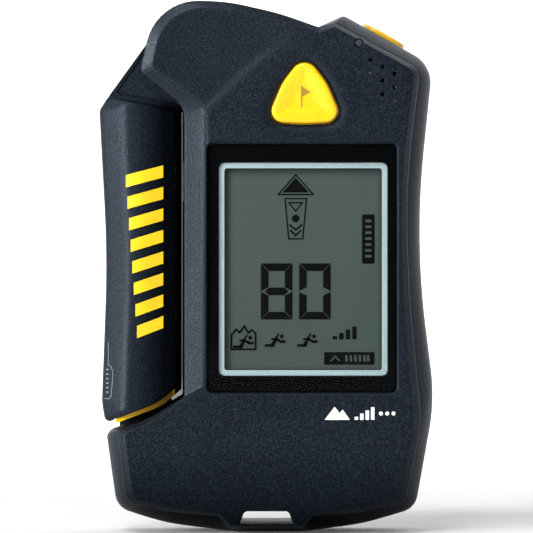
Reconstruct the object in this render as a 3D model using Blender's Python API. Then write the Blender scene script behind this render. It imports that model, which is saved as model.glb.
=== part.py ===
"""Avalanche transceiver: a hand-held beacon with a swing-out lever, built as its separate parts.

Metres, +Z up. The front faces -Y and the device stands upright on the flat foot of its housing, with
the origin at the bottom centre. Sizes below are in millimetres and become metres when meshes are made.
An outline is a list of corners (x, z, fillet radius), counterclockwise as seen from the front.
"""
import math

import bmesh
import bpy
from mathutils import Matrix, Vector

MM = 0.001
GAP = 0.3                  # between neighbouring pieces
ARC_STEPS = 4              # segments of each fillet
ROUND_STEPS = 20           # segments of a turned piece
MIN_RADIUS = 0.25

# Depths (y): the front is negative
FRONT = -13.8              # face of the front housing
CREASE = -12.2             # outer end of its chamfer
PARTING = -10.0            # between the housings
WIDEST = (-3.5, 6.5)       # where the housing has its full outline
SHOULDER = 11.2            # start of the rounding of the back
BACK = 14.2
FRONT_WALL = 1.8
BOARD_SPACE_END = -1.0     # the board's space ends here, in front of the battery box
DEEP_SPACE_END = 10.2      # inner side of the back wall

BAY_WALL = -18.2           # the housing's wall beside the lever (x)
PIVOT = (-17.1, 104.7)     # the lever's hinge axis (x, z)
HEAD_RADIUS = 9.75
HEAD_DEPTH = (-9.6, 9.7)
HEAD_ROOM = 0.55           # free room about the head
LEVER_INNER = -19.1        # the lever's side facing the housing (x)

FULL = [(-6.5, 0, 15), (7.5, 0, 15), (11.5, 0.45, 30), (21.5, 1.8, 50), (33.1, 5.2, 4.5),
        (37.5, 29.3, 45), (34.15, 56, 200), (34.15, 76, 200), (37.0, 103.8, 7), (17.2, 114.9, 1.5),
        (11.5, 112.3, 0.8), (3, 115.3, 60), (-8.5, 117.9, 40), (-24.4, 118.4, 12), (-28.4, 101.9, 2.2),
        (BAY_WALL, 94.0, 1.5), (BAY_WALL, 30.2, 1), (-27, 25.2, 25), (-35.7, 22.3, 1.8),
        (-33.3, 5.4, 4.5), (-22.5, 1.9, 50), (-10.5, 0.45, 30)]
COVER = [(-8.3, 1.3, 0.5), (8, 1.3, 0.5), (10.4, 3.9, 0.5), (20, 4.6, 50), (30.6, 6.6, 3.5),
         (34.2, 24.5, 25), (31.6, 52, 150), (30.7, 76, 150), (33.9, 102.5, 3.5), (14.9, 112.8, 1),
         (11.4, 111.9, 0.8), (2.9, 114.9, 60), (-8.5, 117.5, 40), (-24.2, 118.0, 11.6), (-28, 102, 2),
         (BAY_WALL, 94.2, 1.5), (BAY_WALL, 30.2, 1), (-26.6, 25.0, 25), (-32.9, 22.9, 1.2),
         (-31.2, 6.9, 3.5), (-20, 4.6, 50), (-10.7, 3.9, 0.5)]
FACE = [(-8, 1.9, 0.5), (7.7, 1.9, 0.5), (10.2, 4.6, 0.5), (19.6, 5.5, 50), (29.2, 7.6, 3),
        (32.6, 24.5, 25), (30.2, 52, 150), (29.4, 76, 150), (32.7, 102.0, 3), (15, 111.8, 1),
        (11.4, 110.5, 0.6), (2.6, 113.3, 60), (-8.7, 115.8, 38), (-22.4, 116.4, 10.5),
        (-25.3, 103.3, 1.8), (-13.8, 95.5, 1.5), (-14, 32.6, 1), (-26.4, 24.2, 25),
        (-31.4, 22.2, 1), (-29.6, 8, 3), (-19.6, 5.5, 50), (-10.5, 4.6, 0.5)]
REAR = [(-6.5, 4.2, 15), (7.5, 4.2, 15), (11.5, 4.4, 30), (21, 5.4, 50), (30, 8.2, 4),
        (33.2, 29.3, 40), (30.4, 56, 200), (30.4, 76, 200), (33, 101.6, 6), (17.4, 111.4, 1.5),
        (11.8, 109.4, 1.5), (2.4, 111.6, 50), (-8.8, 114, 36), (-21.4, 114.4, 9), (-24.2, 102.9, 1.5),
        (-17.4, 97, 1.5), (-17.4, 29, 1), (-26.3, 23.6, 25), (-31.8, 21.6, 1.5), (-30, 8.4, 4),
        (-21, 5.5, 50), (-10.5, 4.4, 30)]

# Hollows of the housings
CAVITY = [(-20.2, 7.4, 0.8), (19.6, 7.4, 0.8), (31.4, 19.2, 1), (32, 28, 20), (29.4, 62, 100),
          (29.2, 78, 100), (31.4, 101.4, 3), (20.2, 107.6, 1), (18.4, 105.9, 1), (-2.4, 105.9, 1),
          (-2.4, 92, 1), (-16.4, 92, 1), (-16.4, 22.4, 1), (-31, 19.6, 0.8), (-31, 18.2, 0.8)]
DEEP_CAVITY = [(19.5, 8.6, 0.5), (20.8, 8.6, 0.5), (31.4, 19.2, 1), (32, 28, 20), (29.4, 62, 100),
               (29.2, 78, 100), (31.4, 101.4, 3), (20.2, 107.6, 1), (18.4, 105.9, 1),
               (-2.4, 105.9, 1), (-2.4, 92, 1), (-16.4, 92, 1), (-16.4, 64.6, 1), (19.5, 64.6, 1)]
MOTOR_CAVITY = [(-20.2, 7.4, 0.8), (-16.2, 7.4, 0.8), (-16.2, 22.4, 0.8), (-31, 19.6, 0.8),
                (-31, 18.2, 0.8)]
UPPER_POCKET = [(-2.4, 87.8, 1), (28.6, 87.8, 1), (30.6, 100.6, 3), (19.8, 106.5, 1),
                (18.2, 105.9, 1), (-2.4, 105.9, 1)]
LOWER_POCKET = [(-20, 8, 1), (19.6, 8, 1), (29.8, 18.2, 2), (30.4, 28.8, 1), (-14, 28.8, 1),
                (-17, 21.9, 1), (-29.4, 19, 1), (-29.4, 17.6, 1)]

# Window and display
WINDOW = (-13.0, 28.5, 31.4, 85.8)          # x0, x1, z0, z1
DISPLAY_FRAME = (-10.5, 26.7, 34.9, 81.9)
DISPLAY_LINE = 1.2
LEDGE = 1.3
SLOT_TOP, SLOT_BOTTOM = 5.0, 2.1            # lanyard slot (z)
SLOT_HALF_TOP, SLOT_HALF_BOTTOM = 4.9, 5.9

# Controls
MARK_BUTTON = [(-0.1, 90.9, 2.6), (8.4, 90.5, 30), (16.9, 90.9, 2.6), (13.3, 99.5, 14),
               (8.4, 105.8, 3.0), (3.5, 99.5, 14)]
MARK_CENTRE = (8.4, 97.0)
MARK_PROUD = 0.7
SCAN_EDGE = (25.9, 110.05)                  # middle of the scan button on the housing's edge (x, z)
SCAN_SLOPE = math.atan2(7.2, 13.0)          # the edge falls by this angle to the right
SCAN_Y = 1.0
SCAN_SWITCH_SHIFT = -2.1                    # y of its switch, behind the board, from the button's middle
SPEAKER = (24.6, 97.6)
SPEAKER_HOLES = [(22.95, 104.5), (22.95, 101.5), (25.6, 103), (25.6, 100), (25.6, 97),
                 (28.2, 101.5), (28.2, 98.5), (28.2, 95.5)]
LED = (20.4, 108.3)
LOCK_Z, LOCK_Y = 78.0, 1.6

# Battery box
CELL_X = (-8.4, 2.2, 12.8)
CELL_RADIUS = 5.15
CELL_Y = 6.4
CELL_Z = (15.4, 59.8)
BOX = (-14.2, 18.6, 12.0, 62.6)
DOOR = [(-16.3, 9.35, 0.3), (20.9, 9.35, 0.3), (20.9, 65, 3), (10.8, 65, 2), (8.8, 74.4, 5),
        (-4.4, 74.4, 5), (-6.4, 65, 2), (-16.3, 65, 3)]
DOOR_DEPTH = (12.3, BACK)
DOOR_SCREW = (2.2, 69.2)
HOUSING_SCREWS = [(-27.6, 10.6), (27.4, 10.6), (-19.6, 24.2), (-2.5, 110.0), (15.4, 108.3)]
LEVER_SCREWS = (48.0, 81.0)                 # heights of the two screws of the lever

LEVER = [(-35.7, 24.3, 1.2), (-23.5, 28.8, 12), (LEVER_INNER, 32.4, 0.8), (LEVER_INNER, 93.8, 0.8),
         (-31, 96.1, 10), (-35.2, 96.5, 1), (-37.05, 93.6, 2.5), (-35.3, 61, 250), (-36.5, 29, 12)]
LEVER_TOP = [(-32, 25.9, 1), (-25.5, 28.6, 10), (-20.8, 31.8, 0.8), (-20.8, 93.4, 0.8),
             (-29.5, 95.1, 8), (-31, 95.2, 1), (-31.4, 93.6, 1), (-30.2, 61, 250), (-31.4, 29, 10)]
FLOOR_RIB = [(-33.2, 20.8, 0.3), (-17.0, 28.5, 0.3), (-17.0, 33.6, 0.3), (-19.0, 32.55, 0.5),
             (-23.5, 28.9, 10), (-33.2, 25.3, 0.3)]
FLOOR_RIB_DEPTH = (12.0, 12.8)
LEVER_DEPTH = (-13.3, -9.2, 9.6, 13.4)
LINER = [(-33.6, 24.2, 0.4), (-23.5, 28.0, 10), (-20.3, 30.6, 0.6), (-20.3, 92.2, 0.3),
         (-21.5, 92.2, 0.3), (-21.5, 32.9, 0.3), (-25.0, 29.5, 6), (-33.3, 26.0, 0.4)]
LEVER_HOLLOW = -31.6                        # outer end of the lever's chambers (x)
LINER_DEPTH = 10.5                          # half the liner's width (y)

MATERIALS = {                # base colour, roughness, metallic
    "black_plastic": ((0.014, 0.018, 0.025), 0.55, 0.0),
    "yellow_plastic": ((0.85, 0.60, 0.01), 0.4, 0.0),
    "grey_plastic": ((0.45, 0.47, 0.50), 0.45, 0.0),
    "window_acrylic": ((0.02, 0.02, 0.025), 0.08, 0.0),
    "display_glass": ((0.09, 0.12, 0.11), 0.25, 0.0),
    "display_silver": ((0.45, 0.55, 0.58), 0.35, 0.2),
    "white_plastic": ((0.8, 0.8, 0.78), 0.5, 0.0),
    "board_laminate": ((0.01, 0.12, 0.04), 0.5, 0.0),
    "tin_plate": ((0.6, 0.6, 0.58), 0.3, 1.0),
    "chip_epoxy": ((0.02, 0.02, 0.02), 0.5, 0.0),
    "ferrite": ((0.05, 0.05, 0.055), 0.6, 0.0),
    "copper_wire": ((0.72, 0.30, 0.12), 0.35, 1.0),
    "steel": ((0.55, 0.55, 0.56), 0.3, 1.0),
    "bronze": ((0.5, 0.33, 0.13), 0.35, 1.0),
    "rubber": ((0.02, 0.02, 0.02), 0.85, 0.0),
    "cell_sleeve": ((0.08, 0.10, 0.13), 0.35, 0.3),
    "clear_plastic": ((0.7, 0.75, 0.8), 0.15, 0.0),
}


# ---------------------------------------------------------------- outlines

def shifted(corners, inset):
    """The outline with each side moved inward by inset; outer fillets shrink and hollow ones grow."""
    places = [Vector(corner[:2]) for corner in corners]
    moved = []
    for index, (_, _, radius) in enumerate(corners):
        here = places[index]
        arriving = (here - places[index - 1]).normalized()
        leaving = (places[(index + 1) % len(places)] - here).normalized()
        normals = Vector((-arriving.y - leaving.y, arriving.x + leaving.x))
        turn = arriving.x * leaving.y - arriving.y * leaving.x
        place = here + normals * (inset / (1 + arriving.dot(leaving)))
        change = inset if turn > 0 else -inset
        moved.append((place.x, place.y, max(radius - change, MIN_RADIUS)))
    return moved


def between(first, second, share):
    """Corners part of the way from one outline to another of the same length."""
    return [tuple(a + (b - a) * share for a, b in zip(*pair)) for pair in zip(first, second)]


def rectangle(x0, x1, z0, z1, radius=0.4):
    return [(x0, z0, radius), (x1, z0, radius), (x1, z1, radius), (x0, z1, radius)]


def fillet_reaches(corners):
    """How far each corner's fillet runs along its sides, shortened where two fillets would meet."""
    count = len(corners)
    places = [Vector(corner[:2]) for corner in corners]
    sides = [places[(index + 1) % count] - places[index] for index in range(count)]
    halves = [(-sides[index - 1]).angle(sides[index]) / 2 for index in range(count)]
    wanted = [corner[2] / math.tan(half) for corner, half in zip(corners, halves)]
    room = [min(1, 0.96 * sides[index].length / (wanted[index] + wanted[(index + 1) % count]))
            for index in range(count)]
    return [wanted[index] * min(room[index], room[index - 1]) for index in range(count)]


def rounded(corners, steps=ARC_STEPS):
    """Points (x, z) of an outline, with the same number of points at each corner."""
    points = []
    reaches = fillet_reaches(corners)
    for index, (x, z, _) in enumerate(corners):
        corner = Vector((x, z))
        back = Vector(corners[index - 1][:2]) - corner
        ahead = Vector(corners[(index + 1) % len(corners)][:2]) - corner
        half = back.angle(ahead) / 2
        reach = reaches[index]
        start = corner + back.normalized() * reach
        middle = (back.normalized() + ahead.normalized()).normalized()
        centre = corner + middle * (reach / math.cos(half))
        arm = start - centre
        turn = back.x * ahead.y - back.y * ahead.x
        sweep = math.copysign(math.pi - 2 * half, -turn)
        for step in range(steps + 1):
            points.append(centre + Matrix.Rotation(sweep * step / steps, 2) @ arm)
    return points


# ---------------------------------------------------------------- meshes

def material(name):
    if name in bpy.data.materials:
        return bpy.data.materials[name]
    colour, roughness, metallic = MATERIALS[name]
    made = bpy.data.materials.new(name)
    made.use_nodes = True
    shader = made.node_tree.nodes["Principled BSDF"]
    shader.inputs["Base Color"].default_value = (*colour, 1)
    shader.inputs["Roughness"].default_value = roughness
    shader.inputs["Metallic"].default_value = metallic
    made.diffuse_color = (*colour, 1)
    return made


def finish(name, mesh_data, finish_name=None, smooth=False):
    """Turn a bmesh in millimetres into an object; without a material it is a cutter."""
    bmesh.ops.recalc_face_normals(mesh_data, faces=mesh_data.faces)
    mesh_data.transform(Matrix.Scale(MM, 4))
    mesh = bpy.data.meshes.new(name)
    mesh_data.to_mesh(mesh)
    mesh_data.free()
    if smooth:
        mesh.shade_smooth()
        mesh.set_sharp_from_angle(angle=math.radians(35))
    made = bpy.data.objects.new(name, mesh)
    bpy.context.collection.objects.link(made)
    if finish_name:
        mesh.materials.append(material(finish_name))
    else:
        made.hide_render = True
        made.display_type = 'WIRE'
    return made


def loft(name, rings, finish_name=None, smooth=False):
    """A closed solid through (outline, y) rings of equal length, from front to back."""
    mesh_data = bmesh.new()
    loops = [[mesh_data.verts.new((x, y, z)) for x, z in outline] for outline, y in rings]
    for near, far in zip(loops, loops[1:]):
        for index in range(len(near)):
            after = (index + 1) % len(near)
            mesh_data.faces.new((near[index], near[after], far[after], far[index]))
    mesh_data.faces.new(loops[0])
    mesh_data.faces.new(loops[-1])
    return finish(name, mesh_data, finish_name, smooth)


def prism(name, corners, y0, y1, finish_name=None, steps=2):
    outline = rounded(corners, steps)
    return loft(name, [(outline, y0), (outline, y1)], finish_name)


def block(name, x, y, z, finish_name=None):
    outline = [(x[0], z[0]), (x[1], z[0]), (x[1], z[1]), (x[0], z[1])]
    return loft(name, [(outline, y[0]), (outline, y[1])], finish_name)


def turned(name, profile, place, axis, finish_name=None, ring=False, steps=ROUND_STEPS, half=False):
    """Turn a profile of (radius, distance) about an axis through place, all round or half way round.

    A plain profile starts and ends on the axis; a ring's profile is closed and stays off it.
    """
    mesh_data = bmesh.new()
    closed = not half
    first, sweep = (-math.pi / 2, math.pi) if half else (0, 2 * math.pi)
    spokes = steps if closed else steps + 1
    columns = []
    for radius, distance in profile:
        if radius == 0:
            columns.append([mesh_data.verts.new((0, 0, distance))] * spokes)
            continue
        angles = [first + sweep * step / steps for step in range(spokes)]
        columns.append([mesh_data.verts.new((radius * math.cos(a), radius * math.sin(a), distance))
                        for a in angles])
    pairs = list(zip(columns, columns[1:] + columns[:1])) if ring else list(zip(columns, columns[1:]))
    for first, second in pairs:
        for step in range(steps):
            after = (step + 1) % spokes
            corners = [first[step], first[after], second[after], second[step]]
            corners = list(dict.fromkeys(corners))
            if len(corners) > 2:
                mesh_data.faces.new(corners)
    if not closed:
        mesh_data.faces.new(list(dict.fromkeys(column[0] for column in columns)))
        mesh_data.faces.new(list(dict.fromkeys(column[-1] for column in columns)))
    turn = Vector((0, 0, 1)).rotation_difference(Vector(axis)).to_matrix().to_4x4()
    mesh_data.transform(Matrix.Translation(place) @ turn)
    return finish(name, mesh_data, finish_name, smooth=True)


def rod(name, radius, start, end, finish_name=None, steps=ROUND_STEPS):
    """A plain cylinder between two points."""
    start, end = Vector(start), Vector(end)
    length = (end - start).length
    profile = [(0, 0), (radius, 0), (radius, length), (0, length)]
    return turned(name, profile, start, (end - start).normalized(), finish_name, steps=steps)


def tube(name, outer, inner, start, end, finish_name=None):
    start, end = Vector(start), Vector(end)
    length = (end - start).length
    profile = [(inner, 0), (outer, 0), (outer, length), (inner, length)]
    return turned(name, profile, start, (end - start).normalized(), finish_name, ring=True)


def boolean(target, tool, operation='DIFFERENCE'):
    """Cut a tool away from a target, or join it on; the tool stays as a hidden guide."""
    step = target.modifiers.new(tool.name, 'BOOLEAN')
    step.operation = operation
    step.solver = 'EXACT'
    step.object = tool
    tool.hide_render = True
    tool.display_type = 'WIRE'
    tool.parent = target


def frame_ring(name, outer, inner, y0, y1, finish_name=None):
    """A flat frame between two outlines of the same length."""
    mesh_data = bmesh.new()
    outer, inner = rounded(outer, 2), rounded(inner, 2)
    loops = [[mesh_data.verts.new((x, y, z)) for x, z in outline]
             for outline, y in ((outer, y0), (outer, y1), (inner, y1), (inner, y0))]
    for near, far in zip(loops, loops[1:] + loops[:1]):
        for index in range(len(near)):
            after = (index + 1) % len(near)
            mesh_data.faces.new((near[index], near[after], far[after], far[index]))
    return finish(name, mesh_data, finish_name)


def at_scan(along, depth, y=SCAN_Y):
    """A point in the scan button's frame: along the housing's edge, and depth into the housing."""
    right = Vector((math.cos(SCAN_SLOPE), 0, -math.sin(SCAN_SLOPE)))
    inward = Vector((-math.sin(SCAN_SLOPE), 0, -math.cos(SCAN_SLOPE)))
    return Vector((SCAN_EDGE[0], y, SCAN_EDGE[1])) + right * along + inward * depth


def scan_slab(name, half_length, half_width, outer, inner, finish_name=None, corner=None):
    """A slab with a rounded outline, in the scan button's frame, from depth outer to depth inner."""
    corner = corner or half_width - 0.01
    outline = rounded(rectangle(-half_length, half_length, -half_width, half_width, corner))
    mesh_data = bmesh.new()
    loops = [[mesh_data.verts.new(at_scan(along, depth, SCAN_Y + across)) for along, across in outline]
             for depth in (outer, inner)]
    for index in range(len(outline)):
        after = (index + 1) % len(outline)
        mesh_data.faces.new((loops[0][index], loops[0][after], loops[1][after], loops[1][index]))
    mesh_data.faces.new(loops[0])
    mesh_data.faces.new(loops[1])
    return finish(name, mesh_data, finish_name)


# ---------------------------------------------------------------- housings

def lanyard_slot(name):
    corners = [(-SLOT_HALF_BOTTOM, SLOT_BOTTOM, 0.3), (SLOT_HALF_BOTTOM, SLOT_BOTTOM, 0.3),
               (SLOT_HALF_TOP, SLOT_TOP, 1), (-SLOT_HALF_TOP, SLOT_TOP, 1)]
    return prism(name, corners, FRONT - 3, BACK + 3)


def window_box(inset=0.0, radius=1.0):
    """The window's outline, shrunk by inset (or grown, where it is negative)."""
    x0, x1, z0, z1 = WINDOW
    return rectangle(x0 + inset, x1 - inset, z0 + inset, z1 - inset, max(radius - inset, 0.3))


def front_housing():
    rings = [(rounded(FACE), FRONT), (rounded(COVER), CREASE), (rounded(COVER), PARTING - GAP / 2)]
    cover = loft("front_housing", rings, "black_plastic")
    inside = FRONT + FRONT_WALL
    boolean(cover, prism("cut_upper_pocket", UPPER_POCKET, inside, 0))
    boolean(cover, prism("cut_lower_pocket", LOWER_POCKET, inside, 0))
    boolean(cover, prism("cut_window_pocket", window_box(-0.25), FRONT - 2, -11.6))
    boolean(cover, prism("cut_window_opening", window_box(LEDGE), -12.5, 0))
    boolean(cover, prism("cut_mark_opening", shifted(MARK_BUTTON, -0.35), FRONT - 2, -11))
    for number, (x, z) in enumerate(SPEAKER_HOLES, 1):
        boolean(cover, rod(f"cut_speaker_hole_{number}", 0.5, (x, FRONT - 1, z), (x, -11, z), steps=12))
    boolean(cover, rod("cut_led_hole", 1.0, (LED[0], FRONT - 1, LED[1]), (LED[0], -9, LED[1])))
    for number, (x, z) in enumerate(HOUSING_SCREWS, 1):
        boolean(cover, rod(f"cut_front_screw_{number}", 1.4, (x, -12, z), (x, -9, z), steps=16))
    boolean(cover, rod("cut_front_pin", 2.3, (PIVOT[0], -12.7, PIVOT[1]), (PIVOT[0], -9, PIVOT[1])))
    boolean(cover, lanyard_slot("cut_front_slot"))
    return cover


def head_clearance():
    """The room in the lobe for the lever's hinge head and its arm, over the lever's whole swing."""
    radius = HEAD_RADIUS + HEAD_ROOM
    px, pz = PIVOT
    wall = BAY_WALL + 0.05
    first = -math.pi + math.acos((px - wall) / radius)
    last = math.radians(122)
    steps = 28
    angles = [first + (last - first) * step / steps for step in range(steps + 1)]
    outline = [(px + radius * math.cos(a), pz + radius * math.sin(a)) for a in angles]
    x, z = outline[-1]
    outline += [(x - 32, z - 20), (-50, 90), (wall, 90)]
    return loft("cut_head_room", [(outline, PARTING - 1), (outline, HEAD_DEPTH[1] + GAP)])


def rear_housing():
    rings = [(rounded(COVER), PARTING + GAP / 2), (rounded(FULL), WIDEST[0]), (rounded(FULL), WIDEST[1]),
             (rounded(between(FULL, REAR, 0.3)), SHOULDER), (rounded(REAR), BACK)]
    tub = loft("rear_housing", rings, "black_plastic")
    boolean(tub, prism("cut_board_space", CAVITY, -11, BOARD_SPACE_END))
    boolean(tub, prism("cut_gasket_rebate", shifted(CAVITY, -0.8), -11, -9.2))
    boolean(tub, prism("cut_deep_space", DEEP_CAVITY, -1.5, DEEP_SPACE_END))
    boolean(tub, prism("cut_motor_space", MOTOR_CAVITY, -1.5, DEEP_SPACE_END))
    boolean(tub, prism("cut_battery_box", rectangle(*BOX, 1), 0.8, BACK + 2))
    boolean(tub, prism("cut_door_rebate", shifted(DOOR, -GAP), DOOR_DEPTH[0] - GAP, BACK + 2))
    groove = frame_ring("cut_seal_groove", rectangle(-16.3, 20.7, 10.2, 64.6, 1.6),
                        rectangle(-14.9, 19.3, 11.5, 63.1, 1), 11.2, 13)
    boolean(tub, groove)
    x, z = DOOR_SCREW
    boolean(tub, rod("cut_door_screw_hole", 2.6, (x, 9, z), (x, 13, z)))
    for number, (x, z) in enumerate(HOUSING_SCREWS, 1):
        hole = [(0, 0), (2.4, 0), (2.4, 2.6), (1.4, 2.6), (1.4, 26), (0, 26)]
        boolean(tub, turned(f"cut_rear_screw_{number}", hole, (x, BACK + 1, z), (0, -1, 0), steps=16))
    boolean(tub, head_clearance())
    px, pz = PIVOT
    boolean(tub, rod("cut_rear_pin", 2.3, (px, 9, pz), (px, 12.9, pz)))
    boolean(tub, scan_slab("cut_scan_opening", 5.55, 4.15, -3, 7.2))
    boolean(tub, scan_slab("cut_scan_flange_room", 5.7, 5.0, 4.9, 7.3, corner=1))
    lock = block("cut_lock_opening", (-20, -15), (LOCK_Y - 3.3, LOCK_Y + 3.3), (LOCK_Z - 4.8, LOCK_Z + 4.8))
    boolean(tub, lock)
    boolean(tub, lanyard_slot("cut_rear_slot"))
    boolean(tub, block("add_bay_rib", (BAY_WALL - 0.45, BAY_WALL + 1), (7.6, 8.6), (33, 88)), 'UNION')
    boolean(tub, prism("add_floor_rib", FLOOR_RIB, *FLOOR_RIB_DEPTH), 'UNION')
    return tub


def housing_screws():
    for number, (x, z) in enumerate(HOUSING_SCREWS, 1):
        head, tip = 13.9, -11.7
        profile = [(0, 0), (2.1, 0), (2.1, 0.8), (1.1, 1.0), (1.1, head - tip), (0, head - tip)]
        screw = turned(f"housing_screw_{number}", profile, (x, head, z), (0, -1, 0), "steel", steps=16)
        boolean(screw, rod(f"cut_socket_{number}", 0.9, (x, head - 0.6, z), (x, head + 1, z), steps=6))


def seals():
    frame_ring("housing_gasket", shifted(CAVITY, -0.6), shifted(CAVITY, -0.1), -9.9, -9.4, "rubber")
    frame_ring("window_seal", window_box(0.2), window_box(1.1), -12.35, -11.85, "rubber")
    frame_ring("door_seal", rectangle(-16.1, 20.5, 10.4, 64.4, 1.5), rectangle(-15.1, 19.5, 11.3, 63.3, 1.1),
               11.45, 12.05, "rubber")


# ---------------------------------------------------------------- window, display and board

def display():
    prism("display_window", window_box(), -13.45, -12.55, "window_acrylic")
    x0, x1, z0, z1 = DISPLAY_FRAME
    inner = rectangle(x0 + DISPLAY_LINE, x1 - DISPLAY_LINE, z0 + DISPLAY_LINE, z1 - DISPLAY_LINE, 0.5)
    frame_ring("display_frame", rectangle(x0, x1, z0, z1, 1.1), inner, -12.0, -11.25, "display_silver")
    block("display_panel", (x0 - 0.7, x1 + 0.2), (-10.95, -9.2), (z0 - 1.8, z1 + 2.1), "display_glass")
    block("display_backlight", (x0 - 0.4, x1 - 0.1), (-8.9, -7.2), (z0 - 1.5, z1 + 1.8), "white_plastic")
    block("display_connector", (-2, 18), (-9.6, -4.6), (29.3, 32.7), "chip_epoxy")


def electronics():
    board = [(-15.8, 8.4, 0.5), (19.2, 8.4, 0.5), (30.7, 19.9, 1), (31.2, 28, 10), (28.7, 62, 50),
             (28.5, 78, 50), (30.2, 99.3, 1), (18.4, 105.2, 0.5), (-1.7, 105.2, 0.5), (-1.7, 91.2, 0.5),
             (-15.8, 91.2, 0.5)]
    prism("main_board", board, -4.3, -3.1, "board_laminate", steps=2)
    block("main_chip", (6, 14), (-2.8, -1.6), (80, 88), "chip_epoxy")
    block("radio_shield", (-12, 4), (-2.8, -1.3), (40, 58), "tin_plate")
    block("lever_sensor", (-15.2, -12.4), (-2.8, -1.6), (63, 67), "chip_epoxy")
    x, z = MARK_CENTRE
    switch = block("mark_switch", (x - 3, x + 3), (-7.6, -4.6), (z - 3, z + 3), "chip_epoxy")
    boolean(switch, rod("add_plunger", 1.7, (x, -9.0, z), (x, -7, z), steps=16), 'UNION')
    switch = scan_slab("scan_switch", 2.6, 1.5, 7.6, 10.2, "chip_epoxy", corner=0.3)
    boolean(switch, scan_slab("add_scan_plunger", 1.0, 0.9, 6.95, 8, corner=0.3), 'UNION')
    for part in (switch, bpy.data.objects["add_scan_plunger"]):
        part.data.transform(Matrix.Translation((0, SCAN_SWITCH_SHIFT * MM, 0)))
    px, pz = LED
    rod("status_led", 0.75, (px, -11.8, pz), (px, -10.3, pz), "clear_plastic", steps=12)
    rod("led_lens", 0.75, (px, -13.6, pz), (px, -12.1, pz), "clear_plastic", steps=12)


def antennas():
    """Three coils at right angles, each wound on a ferrite core."""
    places = {"x": ((24.35, 4.6, 17), (24.35, 4.6, 93), 3.2, 4.3, (0.08, 0.82)),
              "y": ((-13.5, 4.6, 70), (16, 4.6, 70), 2.8, 3.9, (0.15, 0.85)),
              "z": ((-6, -0.6, 84), (-6, 8.4, 84), 4.0, 6.2, (0.12, 0.88))}
    for letter, (start, end, core, coil, (first, last)) in places.items():
        start, end = Vector(start), Vector(end)
        rod(f"{letter}_antenna_core", core, start, end, "ferrite")
        tube(f"{letter}_antenna_coil", coil, core + GAP, start.lerp(end, first), start.lerp(end, last),
             "copper_wire")


def speaker_and_motor():
    x, z = SPEAKER
    cup = [(0, 0), (4.9, 0), (4.9, 3.2), (4.3, 3.2), (4.3, 2.2), (0, 2.2)]
    turned("speaker", cup, (x, -8.4, z), (0, -1, 0), "steel")
    cone = [(0, 0), (1.2, 0), (3.9, 0.3), (3.9, 0.6), (1.3, 0.35), (0, 0.5)]
    turned("speaker_membrane", cone, (x, -10.85, z), (0, -1, 0), "rubber")
    shaft_y, shaft_z = 4.5, 17.2
    body = [(0, 0), (2.8, 0), (2.8, 6.2), (0.45, 6.2), (0.45, 9.5), (0, 9.5)]
    turned("vibration_motor", body, (-26.4, shaft_y, shaft_z), (1, 0, 0), "steel")
    weight = [(0.8, 0), (2.8, 0), (2.8, 2.2), (0.8, 2.2)]
    start, end = (-19.8, shaft_y, shaft_z), (-17.6, shaft_y, shaft_z)
    piece = tube("vibration_weight", 1.3, 0.75, start, end, "steel")
    sector = turned("add_sector", weight, start, (1, 0, 0), ring=True, steps=12, half=True)
    boolean(piece, sector, 'UNION')
    set_origin(piece, (0, shaft_y, shaft_z))


def cells():
    """Three cells, the middle one upside down, with a spring at each flat end and a plate at each nub."""
    low, high = CELL_Z
    nub, nub_radius = 1.1, 1.9
    body = high - low - nub
    profile = [(0, 0), (CELL_RADIUS, 0), (CELL_RADIUS, body), (nub_radius, body),
               (nub_radius, body + nub), (0, body + nub)]
    for number, x in enumerate(CELL_X, 1):
        flipped = number == 2
        start, axis = ((x, CELL_Y, high), (0, 0, -1)) if flipped else ((x, CELL_Y, low), (0, 0, 1))
        turned(f"battery_{number}", profile, start, axis, "cell_sleeve", steps=20)
        spring_z, plate_z = (61.2, 14.3) if flipped else (13.7, 60.6)
        side = -1 if flipped else 1
        leaf = [(x - 3.6, spring_z - side * 1.2), (x + 3.4, spring_z - side * 1.2),
                (x + 3.4, spring_z - side * 0.8), (x - 2.4, spring_z - side * 0.8),
                (x + 2.2, spring_z + side * 1.2), (x + 1.6, spring_z + side * 1.2),
                (x - 3.6, spring_z - side * 0.8)]
        if flipped:
            leaf.reverse()
        loft(f"battery_spring_{number}", [(leaf, CELL_Y - 2.5), (leaf, CELL_Y + 2.5)], "bronze")
        block(f"contact_plate_{number}", (x - 3.5, x + 3.5), (CELL_Y - 3, CELL_Y + 3),
              (plate_z - 0.2, plate_z + 0.3), "bronze")


# ---------------------------------------------------------------- controls

def set_origin(piece, point):
    """Put an object's origin at a world point in millimetres; it and its tools stay where they are."""
    offset = Vector(point) * MM
    piece.data.transform(Matrix.Translation(-offset))
    piece.location = offset
    for tool in piece.children:
        tool.location -= offset


def mark_button():
    top = FRONT - MARK_PROUD
    rings = [(rounded(shifted(MARK_BUTTON, 0.7)), top), (rounded(MARK_BUTTON), top + 0.6),
             (rounded(MARK_BUTTON), -11.3)]
    button = loft("mark_button", rings, "yellow_plastic")
    flange = prism("add_mark_flange", shifted(MARK_BUTTON, -0.7), -11.7, -11.1)
    boolean(button, flange, 'UNION')
    x, z = MARK_CENTRE
    boolean(button, rod("add_mark_stem", 1.6, (x, -11.5, z), (x, -9.95, z), steps=16), 'UNION')
    seal = prism("mark_button_seal", shifted(MARK_BUTTON, -1.6), -11.75, -9.4, "rubber")
    boolean(seal, prism("cut_seal_cup", shifted(MARK_BUTTON, -1.05), -13, -9.95))
    boolean(seal, rod("cut_seal_hole", 2.6, (x, -11, z), (x, -9, z), steps=16))


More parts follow.
